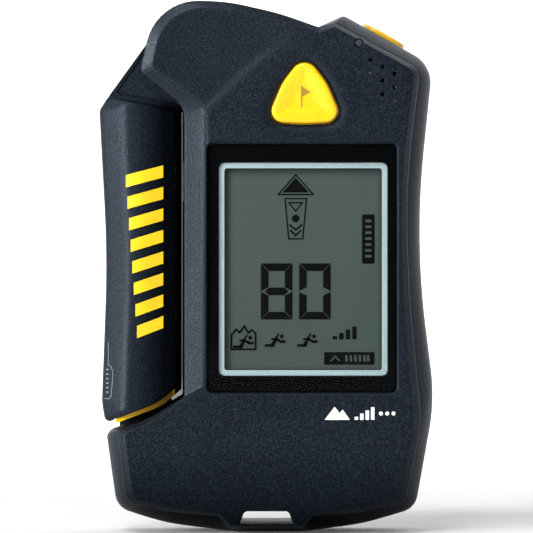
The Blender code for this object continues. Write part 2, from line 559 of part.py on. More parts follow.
def scan_button():
    button = scan_slab("scan_button", 5.2, 3.8, -1.0, 5.5, "yellow_plastic")
    boolean(button, scan_slab("add_scan_flange", 5.3, 4.6, 5.2, 6.0, corner=1), 'UNION')
    for number in range(-2, 3):
        groove = scan_slab(f"cut_grip_{number + 3}", 0.3, 2.6, -2, -0.6, corner=0.2)
        turn = Vector((math.cos(SCAN_SLOPE), 0, -math.sin(SCAN_SLOPE))) * (number * 1.5 * MM)
        groove.data.transform(Matrix.Translation(turn))
        boolean(button, groove)


def lock_button():
    button = block("lock_button", (-18.9, -15.6), (LOCK_Y - 3, LOCK_Y + 3), (LOCK_Z - 4.5, LOCK_Z + 4.5),
                   "yellow_plastic")
    flange = block("add_lock_flange", (-16.1, -15.2), (LOCK_Y - 3.8, LOCK_Y + 3.8),
                   (LOCK_Z - 5.3, LOCK_Z + 5.3))
    boolean(button, flange, 'UNION')


def side_trim_strip():
    corners = [(-18.75, 31.9, 0.4), (-20.9, 30.1, 0.2), (-21.0, 29.3, 0.2), (-18.5, 30.9, 0.4),
               (-18.45, 93, 0.05), (-18.75, 93, 0.05)]
    prism("side_trim_strip", corners, -11.8, -10.3, "grey_plastic")


# ---------------------------------------------------------------- lever

def hinge_head_outline():
    """The round head about the pivot, with the straight arm that runs down into the lever."""
    px, pz = PIVOT
    inner = LEVER_INNER + 0.2
    first = -math.acos((inner - px) / HEAD_RADIUS)
    last = math.radians(143.9)
    steps = 28
    angles = [first + (last - first) * step / steps for step in range(steps + 1)]
    outline = [(px + HEAD_RADIUS * math.cos(a), pz + HEAD_RADIUS * math.sin(a)) for a in angles]
    return outline + [(-34.7, 97.0), (-36.0, 94.6), (-36.0, 88), (inner, 88)]


def lever():
    px, pz = PIVOT
    front, front_edge, back_edge, back = LEVER_DEPTH
    rings = [(rounded(LEVER_TOP), front), (rounded(LEVER), front_edge), (rounded(LEVER), back_edge),
             (rounded(shifted(LEVER, 2.2)), back)]
    shell = loft("lever_shell", rings, "black_plastic")
    head = hinge_head_outline()
    boolean(shell, loft("add_head", [(head, HEAD_DEPTH[0]), (head, HEAD_DEPTH[1])]), 'UNION')
    boolean(shell, rod("cut_head_bore", 3.5, (px, -12, pz), (px, 12, pz)))
    depth = (-LINER_DEPTH - GAP, LINER_DEPTH + GAP)
    boolean(shell, block("cut_liner_room", (-21.75, -15), depth, (18, 92.5)))
    chambers = [("cut_lower_chamber", 18, 45), ("cut_middle_chamber", 51, 78),
                ("cut_upper_chamber", 84, 90.5)]
    for name, low, high in chambers:
        boolean(shell, block(name, (LEVER_HOLLOW, -15), depth, (low, high)))
    boolean(shell, block("add_lever_fin", (-21, BAY_WALL - 0.35), (11, 11.9), (34.3, 93.4)), 'UNION')
    boolean(shell, block("cut_foot_chamber", (-33.9, -15), depth, (18, 27.3)))
    liner = prism("lever_liner", LINER, -LINER_DEPTH, LINER_DEPTH, "yellow_plastic")
    for number, z in enumerate(LEVER_SCREWS, 1):
        boolean(shell, rod(f"cut_lever_thread_{number}", 1.1, (-28.7, 0, z), (-20, 0, z), steps=12))
        boolean(liner, rod(f"cut_liner_hole_{number}", 1.1, (-22, 0, z), (-18, 0, z), steps=12))
        boolean(liner, rod(f"cut_liner_recess_{number}", 2.0, (-21.0, 0, z), (-18, 0, z), steps=16))
        screw = [(0, 0), (1.7, 0), (1.7, 0.45), (0.8, 0.45), (0.8, 8), (0, 8)]
        turned(f"lever_screw_{number}", screw, (-20.25, 0, z), (-1, 0, 0), "steel", steps=12)
    rod("lever_magnet", 1.8, (-24.8, 0, 65), (-22.0, 0, 65), "steel", steps=16)
    rod("hinge_pin", 2.0, (px, -12.4, pz), (px, 12.6, pz), "steel")
    tube("hinge_bush_front", 3.2, 2.3, (px, -9.4, pz), (px, -6.4, pz), "bronze")
    tube("hinge_bush_rear", 3.2, 2.3, (px, 6.5, pz), (px, 9.5, pz), "bronze")


# ---------------------------------------------------------------- battery door

def battery_door():
    y0, y1 = DOOR_DEPTH
    door = prism("battery_door", DOOR, y0, y1, "black_plastic")
    x, z = DOOR_SCREW
    boolean(door, rod("cut_coin_recess", 4.5, (x, 13.0, z), (x, BACK + 1, z)))
    boolean(door, rod("cut_coin_hole", 2.2, (x, 11, z), (x, 14, z), steps=16))
    for number in range(7):
        level = 20 + 2.4 * number
        rib = block(f"cut_grip_rib_{number + 1}", (-3.8, 8.2), (BACK - 0.5, BACK + 1), (level, level + 1.1))
        boolean(door, rib)
    profile = [(0, 0), (4.2, 0), (4.2, 1.25), (1.9, 1.25), (1.9, 3.9), (0, 3.9)]
    screw = turned("door_screw", profile, (x, 14.5, z), (0, -1, 0), "steel")
    boolean(screw, block("cut_coin_slot", (x - 3.4, x + 3.4), (13.8, 15), (z - 0.6, z + 0.6)))


def set_moving_origins():
    """Put each moving piece's origin on its joint's axis, or at the middle of its travel path."""
    px, pz = PIVOT
    for name in ("lever_shell", "lever_liner", "lever_screw_1", "lever_screw_2", "lever_magnet",
                 "hinge_bush_front", "hinge_bush_rear"):
        set_origin(bpy.data.objects[name], (px, 0, pz))
    set_origin(bpy.data.objects["battery_door"], (CELL_X[1], BACK, DOOR[0][1]))
    set_origin(bpy.data.objects["door_screw"], (DOOR_SCREW[0], BACK, DOOR_SCREW[1]))
    set_origin(bpy.data.objects["mark_button"], (MARK_CENTRE[0], FRONT, MARK_CENTRE[1]))
    set_origin(bpy.data.objects["scan_button"], at_scan(0, 0))
    set_origin(bpy.data.objects["lock_button"], (BAY_WALL, LOCK_Y, LOCK_Z))


def main():
    for old in list(bpy.data.objects):
        bpy.data.objects.remove(old, do_unlink=True)
    front_housing()
    rear_housing()
    housing_screws()
    seals()
    display()
    electronics()
    antennas()
    speaker_and_motor()
    cells()
    mark_button()
    scan_button()
    lock_button()
    side_trim_strip()
    lever()
    battery_door()
    set_moving_origins()


main()
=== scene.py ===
"""Avalanche transceiver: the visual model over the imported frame, with its finishes, light and camera.

Sizes are in millimetres and become metres when meshes are made. The front faces -Y. An outline is a
list of corners (x, z, fillet radius), counterclockwise as seen from the front.
"""
import math

import bmesh
import bpy
import numpy as np
from mathutils import Matrix, Vector
from mathutils.bvhtree import BVHTree
from mathutils.geometry import delaunay_2d_cdt


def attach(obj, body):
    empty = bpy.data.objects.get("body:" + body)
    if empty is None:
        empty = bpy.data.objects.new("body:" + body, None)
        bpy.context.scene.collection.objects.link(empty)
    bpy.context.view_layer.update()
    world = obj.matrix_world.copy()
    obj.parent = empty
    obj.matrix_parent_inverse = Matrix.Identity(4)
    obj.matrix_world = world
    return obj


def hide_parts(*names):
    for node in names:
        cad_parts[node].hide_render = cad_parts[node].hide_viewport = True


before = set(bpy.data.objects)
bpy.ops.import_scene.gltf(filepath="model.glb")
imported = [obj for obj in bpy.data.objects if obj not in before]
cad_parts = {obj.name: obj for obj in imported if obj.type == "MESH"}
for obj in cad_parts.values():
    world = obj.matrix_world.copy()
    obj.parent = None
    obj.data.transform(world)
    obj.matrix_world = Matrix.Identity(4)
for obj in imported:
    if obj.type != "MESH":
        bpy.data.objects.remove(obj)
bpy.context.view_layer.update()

MM = 0.001
ARC_STEPS = 10             # points round each corner of an outline that shows
FEW_STEPS = 5              # and of a small or hidden one
ROUND_STEPS = 40
SHARP = 35                 # degrees between faces above which their edge is drawn sharp
MIN_RADIUS = 0.2
GAP = 0.3
STROKE = 0.34              # width of a line on the display

# Depths (y) of the housing: the front is negative
FRONT = -13.8
CREASE = -12.2
PARTING = -10.0
WIDEST = (-3.5, 6.5)
BACK = 14.2

BAY_WALL = -18.2           # the housing's wall beside the lever (x)
PIVOT = (-17.1, 104.7)     # the lever's hinge axis (x, z)
PIN_HOLE = 2.3
HEAD_RADIUS = 9.75
HEAD_ROOM = 0.55           # gap between the head and the lobe around it
HEAD_DEPTH = (-9.6, 9.7)
HEAD_ENDS = (143.9, 122.0)  # degrees at which the head and its room turn from arc to arm
LEVER_INNER = -19.1

FULL = [(-6.5, 0, 15), (7.5, 0, 15), (11.5, 0.45, 30), (21.5, 1.8, 50), (33.1, 5.2, 4.5),
        (37.5, 29.3, 45), (34.15, 56, 200), (34.15, 76, 200), (37.0, 103.8, 7), (17.2, 114.9, 1.5),
        (11.5, 112.3, 0.8), (3, 115.3, 60), (-8.5, 117.9, 40), (-24.4, 118.4, 12), (-28.4, 101.9, 2.2),
        (BAY_WALL, 94.0, 1.5), (BAY_WALL, 30.2, 1), (-27, 25.2, 25), (-35.7, 22.3, 1.8),
        (-33.3, 5.4, 4.5), (-22.5, 1.9, 50), (-10.5, 0.45, 30)]
COVER = [(-8.3, 1.3, 0.5), (8, 1.3, 0.5), (10.4, 3.9, 0.5), (20, 4.6, 50), (30.6, 6.6, 3.5),
         (34.2, 24.5, 25), (31.6, 52, 150), (30.7, 76, 150), (33.9, 102.5, 3.5), (14.9, 112.8, 1),
         (11.4, 111.9, 0.8), (2.9, 114.9, 60), (-8.5, 117.5, 40), (-24.2, 118.0, 11.6), (-28, 102, 2),
         (BAY_WALL, 94.2, 5), (BAY_WALL, 30.2, 1), (-26.6, 25.0, 25), (-32.9, 22.9, 1.2),
         (-31.2, 6.9, 3.5), (-20, 4.6, 50), (-10.7, 3.9, 0.5)]
FACE = [(-8, 1.9, 0.5), (7.7, 1.9, 0.5), (10.2, 4.6, 0.5), (19.6, 5.5, 50), (29.2, 7.6, 3),
        (32.6, 24.5, 25), (30.2, 52, 150), (29.4, 76, 150), (32.7, 102.0, 3), (15, 111.8, 1),
        (11.4, 110.5, 0.6), (2.6, 113.3, 60), (-8.7, 115.8, 38), (-22.4, 116.4, 10.5),
        (-25.3, 103.3, 1.8), (-13.8, 95.5, 6), (-14, 32.6, 1), (-26.4, 24.2, 25),
        (-31.4, 22.2, 1), (-29.6, 8, 3), (-19.6, 5.5, 50), (-10.5, 4.6, 0.5)]
REAR = [(-6.5, 4.2, 15), (7.5, 4.2, 15), (11.5, 4.4, 30), (21, 5.4, 50), (30, 8.2, 4),
        (33.2, 29.3, 40), (30.4, 56, 200), (30.4, 76, 200), (33, 101.6, 6), (17.4, 111.4, 1.5),
        (11.8, 109.4, 1.5), (2.4, 111.6, 50), (-8.8, 114, 36), (-21.4, 114.4, 9), (-24.2, 102.9, 1.5),
        (-17.4, 97, 1.5), (-17.4, 29, 1), (-26.3, 23.6, 25), (-31.8, 21.6, 1.5), (-30, 8.4, 4),
        (-21, 5.5, 50), (-10.5, 4.4, 30)]
CAVITY = [(-20.2, 7.4, 0.8), (19.6, 7.4, 0.8), (31.4, 19.2, 1), (32, 28, 20), (29.4, 62, 100),
          (29.2, 78, 100), (31.4, 101.4, 3), (20.2, 107.6, 1), (18.4, 105.9, 1), (-2.4, 105.9, 1),
          (-2.4, 92, 1), (-16.4, 92, 1), (-16.4, 22.4, 1), (-31, 19.6, 0.8), (-31, 18.2, 0.8)]
DEEP_CAVITY = [(19.5, 8.6, 0.5), (20.8, 8.6, 0.5), *CAVITY[2:12], (-16.4, 64.6, 1), (19.5, 64.6, 1)]
MOTOR_CAVITY = [(-20.2, 7.4, 0.8), (-16.2, 7.4, 0.8), (-16.2, 22.4, 0.8), (-31, 19.6, 0.8),
                (-31, 18.2, 0.8)]
UPPER_POCKET = [(-2.4, 87.8, 1), (28.6, 87.8, 1), (30.6, 100.6, 3), (19.8, 106.5, 1),
                (18.2, 105.9, 1), (-2.4, 105.9, 1)]
LOWER_POCKET = [(-20, 8, 1), (19.6, 8, 1), (29.8, 18.2, 2), (30.4, 28.8, 1), (-14, 28.8, 1),
                (-17, 21.9, 1), (-29.4, 19, 1), (-29.4, 17.6, 1)]
WINDOW = (-13.0, 28.5, 31.4, 85.8)          # x0, x1, z0, z1
DISPLAY_FRAME = (-10.5, 26.7, 34.9, 81.9)
MARK_BUTTON = [(-0.1, 90.9, 2.6), (8.4, 90.5, 30), (16.9, 90.9, 2.6), (13.3, 99.5, 14),
               (8.4, 105.8, 3.0), (3.5, 99.5, 14)]
SCAN_EDGE = (25.9, 110.05)
SCAN_SLOPE = math.atan2(7.2, 13.0)
SCAN_Y = 1.0
SPEAKER_HOLES = [(22.95, 104.5), (22.95, 101.5), (25.6, 103), (25.6, 100), (25.6, 97),
                 (28.2, 101.5), (28.2, 98.5), (28.2, 95.5)]
LED = (20.4, 108.3)
LOCK_Z, LOCK_Y = 78.0, 1.6
BOX = (-14.2, 18.6, 12.0, 62.6)
DOOR = [(-16.3, 9.35, 0.3), (20.9, 9.35, 0.3), (20.9, 65, 3), (10.8, 65, 2), (8.8, 74.4, 5),
        (-4.4, 74.4, 5), (-6.4, 65, 2), (-16.3, 65, 3)]
DOOR_SCREW = (2.2, 69.2)
DOOR_INNER = 12.0                           # depth (y) of the door's rebate
DEEP = (-1.5, 10.2)                         # depths of the room beside the cells
CELLS_LOW, CELLS_HIGH = 15.4, 59.8          # the cells' ends (z)
LEVER_SCREWS = (48.0, 81.0)                 # heights of the lever's two screws
LINER_ROOM = (-10.8, 10.8)                  # depths (y) of the room for the liner
HOUSING_SCREWS = [(-27.6, 10.6), (27.4, 10.6), (-19.6, 24.2), (-2.5, 110.0), (15.4, 108.3)]
LEVER = [(-35.7, 24.3, 1.2), (-23.5, 28.8, 12), (LEVER_INNER, 32.4, 0.8), (LEVER_INNER, 93.8, 0.8),
         (-31, 96.1, 10), (-35.2, 96.5, 1), (-37.05, 93.6, 2.5), (-35.3, 61, 250), (-36.5, 29, 12)]
LEVER_TOP = [(-32, 25.9, 1), (-25.5, 28.6, 10), (-20.8, 31.8, 0.8), (-20.8, 93.4, 0.8),
             (-29.5, 95.1, 8), (-31, 95.2, 1), (-31.4, 93.6, 1), (-30.2, 61, 250), (-31.4, 29, 10)]


# ---- outlines

def shifted(corners, inset):
    """The outline with each side moved inward by inset; outer fillets shrink and hollow ones grow."""
    places = [Vector(corner[:2]) for corner in corners]
    moved = []
    for index, (_, _, radius) in enumerate(corners):
        here = places[index]
        arriving = (here - places[index - 1]).normalized()
        leaving = (places[(index + 1) % len(places)] - here).normalized()
        normals = Vector((-arriving.y - leaving.y, arriving.x + leaving.x))
        turn = arriving.x * leaving.y - arriving.y * leaving.x
        place = here + normals * (inset / (1 + arriving.dot(leaving)))
        change = inset if turn > 0 else -inset
        moved.append((place.x, place.y, max(radius - change, MIN_RADIUS)))
    return moved


def between(first, second, share):
    """Corners part of the way from one outline to another, or beyond either."""
    mixed = [tuple(a + (b - a) * share for a, b in zip(*pair)) for pair in zip(first, second)]
    return [(x, z, max(radius, MIN_RADIUS)) for x, z, radius in mixed]


def rectangle(x0, x1, z0, z1, radius=0.4):
    return [(x0, z0, radius), (x1, z0, radius), (x1, z1, radius), (x0, z1, radius)]


def fillet_reaches(corners):
    """How far each corner's fillet runs along its sides, shortened where two fillets would meet."""
    count = len(corners)
    places = [Vector(corner[:2]) for corner in corners]
    sides = [places[(index + 1) % count] - places[index] for index in range(count)]
    halves = [(-sides[index - 1]).angle(sides[index]) / 2 for index in range(count)]
    wanted = [corner[2] / math.tan(half) for corner, half in zip(corners, halves)]
    room = [min(1, 0.96 * sides[index].length / (wanted[index] + wanted[(index + 1) % count]))
            for index in range(count)]
    return [wanted[index] * min(room[index], room[index - 1]) for index in range(count)]


def rounded(corners, steps=ARC_STEPS):
    """Points (x, z) of an outline, with the same number of points at each corner."""
    points = []
    reaches = fillet_reaches(corners)
    for index, (x, z, _) in enumerate(corners):
        corner = Vector((x, z))
        back = Vector(corners[index - 1][:2]) - corner
        ahead = Vector(corners[(index + 1) % len(corners)][:2]) - corner
        half = back.angle(ahead) / 2
        reach = reaches[index]
        start = corner + back.normalized() * reach
        middle = (back.normalized() + ahead.normalized()).normalized()
        centre = corner + middle * (reach / math.cos(half))
        arm = start - centre
        turn = back.x * ahead.y - back.y * ahead.x
        sweep = math.copysign(math.pi - 2 * half, -turn)
        for step in range(steps + 1):
            points.append(centre + Matrix.Rotation(sweep * step / steps, 2) @ arm)
    return points


def arc(centre, radius, first, last, steps=60):
    angles = [first + (last - first) * step / steps for step in range(steps + 1)]
    return [(centre[0] + radius * math.cos(a), centre[1] + radius * math.sin(a)) for a in angles]


def stroke(start, end, width=STROKE):
    """A straight line of some width as an outline."""
    start, end = Vector(start), Vector(end)
    along = (end - start).normalized() * (width / 2)
    side = Vector((-along.y, along.x))
    corners = [start - along - side, end + along - side, end + along + side, start - along + side]
    return [(p.x, p.y) for p in corners]


def path(points, width=STROKE, closed=False):
    pairs = list(zip(points, points[1:] + points[:1])) if closed else list(zip(points, points[1:]))
    return [stroke(first, second, width) for first, second in pairs]


def smoothstep(low, high, value):
    share = min(max((value - low) / (high - low), 0), 1)
    return share * share * (3 - 2 * share)


def distances(points, outline):
    """Distance of each point from a closed outline, negative inside it."""
    points = np.array(points, dtype=float)
    starts = np.array([tuple(p) for p in outline], dtype=float)
    ends = np.roll(starts, -1, axis=0)
    nearest = np.full(len(points), 1e9)
    inside = np.zeros(len(points), dtype=bool)
    for start, end in zip(starts, ends):
        side = end - start
        share = ((points - start) @ side) / max(side @ side, 1e-12)
        foot = start + np.clip(share, 0, 1)[:, None] * side
        nearest = np.minimum(nearest, np.hypot(*(points - foot).T))
        crosses = (start[1] > points[:, 1]) != (end[1] > points[:, 1])
        rise = side[1] if side[1] else 1e-12
        left = points[:, 0] < side[0] * (points[:, 1] - start[1]) / rise + start[0]
        inside ^= crosses & left
    return np.where(inside, -nearest, nearest)


def filled(outline, spacing):
    """Points and triangles that fill an outline; the outline's own points come first."""
    xs, zs = [p[0] for p in outline], [p[1] for p in outline]
    grid = []
    rows = int((max(zs) - min(zs)) / (spacing * 0.866)) + 1
    columns = int((max(xs) - min(xs)) / spacing) + 1
    for row in range(rows):
        for column in range(columns):
            across = (column + 0.5 * (row % 2)) * spacing
            grid.append((min(xs) + across, min(zs) + row * spacing * 0.866))
    depth = distances(grid, outline)
    inner = [point for point, away in zip(grid, depth) if away < -spacing * 0.6]
    points = [Vector(p) for p in outline] + [Vector(p) for p in inner]
    loop = list(range(len(outline)))
    edges = [(i, (i + 1) % len(loop)) for i in loop]
    points, _, triangles, *_ = delaunay_2d_cdt(points, edges, [loop], 1, 1e-6)
    return points, triangles


# ---- meshes

def add_object(name, data):
    made = bpy.data.objects.new(name, data)
    bpy.context.collection.objects.link(made)
    return made


def smooth(mesh):
    mesh.shade_smooth()
    mesh.set_sharp_from_angle(angle=math.radians(SHARP))


def finish(name, mesh_data):
    """Turn a bmesh in millimetres into a smooth-shaded object."""
    bmesh.ops.recalc_face_normals(mesh_data, faces=mesh_data.faces)
    mesh_data.transform(Matrix.Scale(MM, 4))
    mesh = bpy.data.meshes.new(name)
    mesh_data.to_mesh(mesh)
    mesh_data.free()
    smooth(mesh)
    return add_object(name, mesh)


def bridge(mesh_data, loops):
    """Join each loop of vertices to the next with quads."""
    for near, far in zip(loops, loops[1:]):
        for index in range(len(near)):
            after = (index + 1) % len(near)
            mesh_data.faces.new((near[index], near[after], far[after], far[index]))


def loft(name, rings, cap=None, relief=None):
    """A closed solid through (outline, y) rings, from front to back.

    With cap, the front end is filled with triangles of that size, and relief(points) gives how far
    each point of the rings and the fill sinks in.
    """
    mesh_data = bmesh.new()
    loops = []
    for outline, y in rings:
        sinks = relief(outline, y) if relief else [0] * len(outline)
        loops.append([mesh_data.verts.new((p[0], y + sink, p[1])) for p, sink in zip(outline, sinks)])
    bridge(mesh_data, loops)
    outline, y = rings[0]
    if cap:
        points, triangles = filled(outline, cap)
        inner = points[len(outline):]
        sinks = relief(inner, y) if relief else [0] * len(inner)
        verts = loops[0] + [mesh_data.verts.new((p[0], y + sink, p[1])) for p, sink in zip(inner, sinks)]
        for triangle in triangles:
            mesh_data.faces.new([verts[index] for index in triangle])
    else:
        mesh_data.faces.new(loops[0])
    mesh_data.faces.new(loops[-1])
    return finish(name, mesh_data)


def prism(name, corners, y0, y1):
    outline = rounded(corners, FEW_STEPS)
    return loft(name, [(outline, y0), (outline, y1)])


def block(name, x, y, z):
    outline = [(x[0], z[0]), (x[1], z[0]), (x[1], z[1]), (x[0], z[1])]
    return loft(name, [(outline, y[0]), (outline, y[1])])


def turned(name, profile, place, axis, steps=ROUND_STEPS):
    """Turn a profile of (radius, distance), which starts and ends on the axis, about an axis."""
    mesh_data = bmesh.new()
    columns = []
    for radius, distance in profile:
        if radius == 0:
            columns.append([mesh_data.verts.new((0, 0, distance))] * steps)
            continue
        angles = [2 * math.pi * step / steps for step in range(steps)]
        columns.append([mesh_data.verts.new((radius * math.cos(a), radius * math.sin(a), distance))
                        for a in angles])
    for first, second in zip(columns, columns[1:]):
        for step in range(steps):
            after = (step + 1) % steps
            corners = list(dict.fromkeys([first[step], first[after], second[after], second[step]]))
            if len(corners) > 2:
                mesh_data.faces.new(corners)
    turn = Vector((0, 0, 1)).rotation_difference(Vector(axis)).to_matrix().to_4x4()
    mesh_data.transform(Matrix.Translation(place) @ turn)
    return finish(name, mesh_data)


def rod(name, radius, start, end, steps=ROUND_STEPS):
    start, end = Vector(start), Vector(end)
    length = (end - start).length
    return turned(name, [(0, 0), (radius, 0), (radius, length), (0, length)], start,
                  (end - start).normalized(), steps)


def settle(piece):
    """Apply a piece's modifiers to its mesh."""
    depsgraph = bpy.context.evaluated_depsgraph_get()
    mesh = bpy.data.meshes.new_from_object(piece.evaluated_get(depsgraph), depsgraph=depsgraph)
    piece.modifiers.clear()
    piece.data = mesh


def carve(target, tools, joined=()):
    """Join some solids on to a piece and cut others out of it, then shade it smooth."""
    for operation, group in (("UNION", joined), ("DIFFERENCE", tools)):
        for tool in group:
            step = target.modifiers.new(tool.name, "BOOLEAN")
            step.operation = operation
            step.solver = "EXACT"
            step.object = tool
    settle(target)
    for tool in [*tools, *joined]:
        bpy.data.objects.remove(tool, do_unlink=True)
    smooth(target.data)


def frame_ring(name, outer, inner, y0, y1):
    mesh_data = bmesh.new()
    outer, inner = rounded(outer, FEW_STEPS), rounded(inner, FEW_STEPS)
    loops = [[mesh_data.verts.new((x, y, z)) for x, z in outline]
             for outline, y in ((outer, y0), (outer, y1), (inner, y1), (inner, y0))]
    bridge(mesh_data, [*loops, loops[0]])
    return finish(name, mesh_data)


def at_scan(along, depth, y):
    """A point in the scan button's frame: along the housing's edge, and depth into the housing."""
    right = Vector((math.cos(SCAN_SLOPE), 0, -math.sin(SCAN_SLOPE)))
    inward = Vector((-math.sin(SCAN_SLOPE), 0, -math.cos(SCAN_SLOPE)))
    return Vector((SCAN_EDGE[0], y, SCAN_EDGE[1])) + right * along + inward * depth


def scan_solid(name, half_length, half_width, levels, corner=None, shift=0.0):
    """A rounded slab in the scan button's frame, through (inset, depth) levels."""
    mesh_data = bmesh.new()
    loops = []
    for inset, depth in levels:
        long, wide = half_length - inset, half_width - inset
        outline = rounded(rectangle(-long, long, -wide, wide, (corner or wide) - 0.01), 8)
        loops.append([mesh_data.verts.new(at_scan(along + shift, depth, SCAN_Y + across))
                      for along, across in outline])
    bridge(mesh_data, loops)
    mesh_data.faces.new(loops[0])
    mesh_data.faces.new(loops[-1])
    return finish(name, mesh_data)


# ---- finishes

class Finish:
    """A node material being made; its pattern coordinates are the object's own, in metres."""

    def __init__(self, name):
        self.material = bpy.data.materials.new(name)
        self.material.use_nodes = True
        self.tree = self.material.node_tree
        self.tree.nodes.clear()
        self.output = self.add("OutputMaterial")
        self.place = self.add("TexCoord").outputs["Object"]

    def add(self, kind, inputs=None, **settings):
        made = self.tree.nodes.new("ShaderNode" + kind)
        for key, value in settings.items():
            setattr(made, key, value)
        for key, value in (inputs or {}).items():
            socket = made.inputs[key]
            if isinstance(value, bpy.types.NodeSocket):
                self.tree.links.new(value, socket)
            elif socket.type == "RGBA":
                socket.default_value = (*value[:3], 1)
            else:
                socket.default_value = value
        return made

    def noise(self, size, detail=2.0, stretch=(1, 1, 1)):
        """Noise whose blotches are about size millimetres across, stretched along the axes."""
        place = self.add("Mapping", {"Vector": self.place, "Scale": [1 / s for s in stretch]})
        inputs = {"Vector": place.outputs[0], "Scale": 1 / (size * MM), "Detail": detail}
        return self.add("TexNoise", inputs).outputs["Fac"]

    def along(self, axis, low, high):
        """0 to 1 along an axis, from low to high in millimetres."""
        parts = self.add("SeparateXYZ", {"Vector": self.place})
        return self.spread(parts.outputs[axis], low * MM, high * MM)

    def spread(self, value, low, high, start=0.0, end=1.0, smooth=False):
        made = self.add("MapRange", {"Value": value, "From Min": low, "From Max": high, "To Min": start,
                                     "To Max": end})
        made.interpolation_type = "SMOOTHSTEP" if smooth else "LINEAR"
        return made.outputs[0]

    def math(self, operation, first, second=0.0):
        return self.add("Math", {0: first, 1: second}, operation=operation).outputs[0]

    def mix(self, share, first, second, blend="MIX"):
        made = self.add("Mix", {0: share, 6: first, 7: second}, data_type="RGBA", blend_type=blend)
        return made.outputs[2]

    def bump(self, height, depth, normal=None, strength=1.0):
        """Raise the surface by up to depth millimetres."""
        inputs = {"Height": height, "Distance": depth * MM, "Strength": strength}
        if normal:
            inputs["Normal"] = normal
        return self.add("Bump", inputs).outputs[0]

    def edges(self, radius):
        """A normal that rounds the edges, and a mask that is 1 along them."""
        normal = self.add("Bevel", {"Radius": radius * MM}, samples=4).outputs[0]
        true = self.add("NewGeometry").outputs["Normal"]
        bend = self.add("VectorMath", {0: normal, 1: true}, operation="DOT_PRODUCT").outputs["Value"]
        return normal, self.spread(bend, 0.995, 0.90)

    def shade(self, **inputs):
        names = {key.replace("_", " "): value for key, value in inputs.items()}
        shader = self.add("BsdfPrincipled", names)
        self.tree.links.new(shader.outputs[0], self.output.inputs["Surface"])
        return self.material


def tint(colour, factor):
    return tuple(min(channel * factor, 1) for channel in colour)


def moulded(name, colour, roughness, grain=0.34, depth=0.02, pale=0.25, worn=1.6, coat=0.0, spread=0.12,
            shine=0.5, tinge=(1, 1, 1), painted_shade=None):
    """Spark-textured moulded plastic: fine grain, uneven sheen, and edges rubbed paler and smoother.

    The last argument paints shade, as (share, (axis, unshaded end, shaded end), ...): the plastic is
    darker and less shiny where every axis is shaded.
    """
    made = Finish(name)
    fine, broad, middle = made.noise(grain, 3), made.noise(22, 3), made.noise(3.5, 4)
    normal, edge = made.edges(0.18)
    base = made.mix(made.spread(broad, 0.35, 0.65), tint(colour, 1 - spread), tint(colour, 1 + spread))
    base = made.mix(made.spread(fine, 0.5, 0.36, 0, pale), base, tint(colour, 0.25))
    base = made.mix(made.spread(fine, 0.5, 0.64, 0, pale), base, tint(colour, 3.2))
    rubbed = made.math("MULTIPLY", edge, made.spread(middle, 0.35, 0.6, 0.15, 0.8))
    base = made.mix(rubbed, base, tint(colour, worn))
    # painted shade: the colour goes toward black and the shine toward none at the shaded ends
    if painted_shade:
        share, *ways = painted_shade
        for way in ways:
            share = made.math("MULTIPLY", share, made.along(*way))
        base = made.mix(share, base, (0, 0, 0))
        shine = made.spread(share, 0, 1, shine, 0)
    rough = made.math("ADD", made.spread(broad, 0.3, 0.7, roughness - 0.05, roughness + 0.05),
                      made.spread(fine, 0.3, 0.7, 0.05, -0.05))
    rough = made.math("SUBTRACT", rough, made.math("MULTIPLY", rubbed, 0.12))
    return made.shade(Base_Color=base, Roughness=rough, Normal=made.bump(fine, depth, normal),
                      Coat_Weight=coat, Coat_Roughness=0.2, Specular_IOR_Level=shine,
                      Specular_Tint=tinge)


def metal(name, colour, roughness, brush=(1, 1, 12), size=0.25, stain=0.8):
    """Brushed metal, duller in patches."""
    made = Finish(name)
    lines, patches = made.noise(size, 3, brush), made.noise(4, 3)
    normal, edge = made.edges(0.1)
    base = made.mix(made.spread(patches, 0.4, 0.65), colour, tint(colour, stain))
    base = made.mix(made.spread(lines, 0.4, 0.7, 0, 0.35), base, tint(colour, 1.25))
    rough = made.math("ADD", made.spread(patches, 0.35, 0.65, roughness - 0.06, roughness + 0.1),
                      made.spread(lines, 0.3, 0.7, -0.04, 0.06))
    rough = made.math("SUBTRACT", rough, made.math("MULTIPLY", edge, 0.08))
    return made.shade(Base_Color=base, Roughness=rough, Metallic=1.0,
                      Normal=made.bump(lines, 0.006, normal))


def winding(name, axis):
    """Fine enamelled copper wire wound about an axis."""
    made = Finish(name)
    wave = made.add("TexWave", {"Vector": made.place, "Scale": 900.0, "Distortion": 0.15, "Detail": 1.0},
                    wave_type="BANDS", bands_direction=axis).outputs["Fac"]
    base = made.mix(wave, (0.20, 0.05, 0.015), (0.80, 0.34, 0.13))
    base = made.mix(made.spread(made.noise(2, 3), 0.45, 0.7, 0, 0.4), base, (0.45, 0.16, 0.05))
    rough = made.spread(wave, 0, 1, 0.5, 0.28)
    return made.shade(Base_Color=base, Roughness=rough, Metallic=0.85, Normal=made.bump(wave, 0.08))


def laminate():
    """Circuit board: green mask over copper tracks, with tinned pads."""
    made = Finish("board_laminate")
    cells = made.add("TexVoronoi", {"Vector": made.place, "Scale": 420.0}, distance="MANHATTAN",
                     feature="F1")
    tracks = made.spread(cells.outputs["Distance"], 0.42, 0.5)
    pads = made.add("TexVoronoi", {"Vector": made.place, "Scale": 300.0}, feature="F1")
    pads = made.spread(pads.outputs["Distance"], 0.16, 0.12)
    base = made.mix(tracks, (0.008, 0.11, 0.035), (0.02, 0.22, 0.07))
    base = made.mix(made.spread(made.noise(0.3, 2), 0.4, 0.7, 0, 0.3), base, (0.004, 0.07, 0.02))
    base = made.mix(pads, base, (0.75, 0.74, 0.68))
    height = made.math("ADD", tracks, pads)
    return made.shade(Base_Color=base, Roughness=made.spread(pads, 0, 1, 0.38, 0.25), Metallic=pads,
                      Normal=made.bump(height, 0.03), Coat_Weight=0.3)


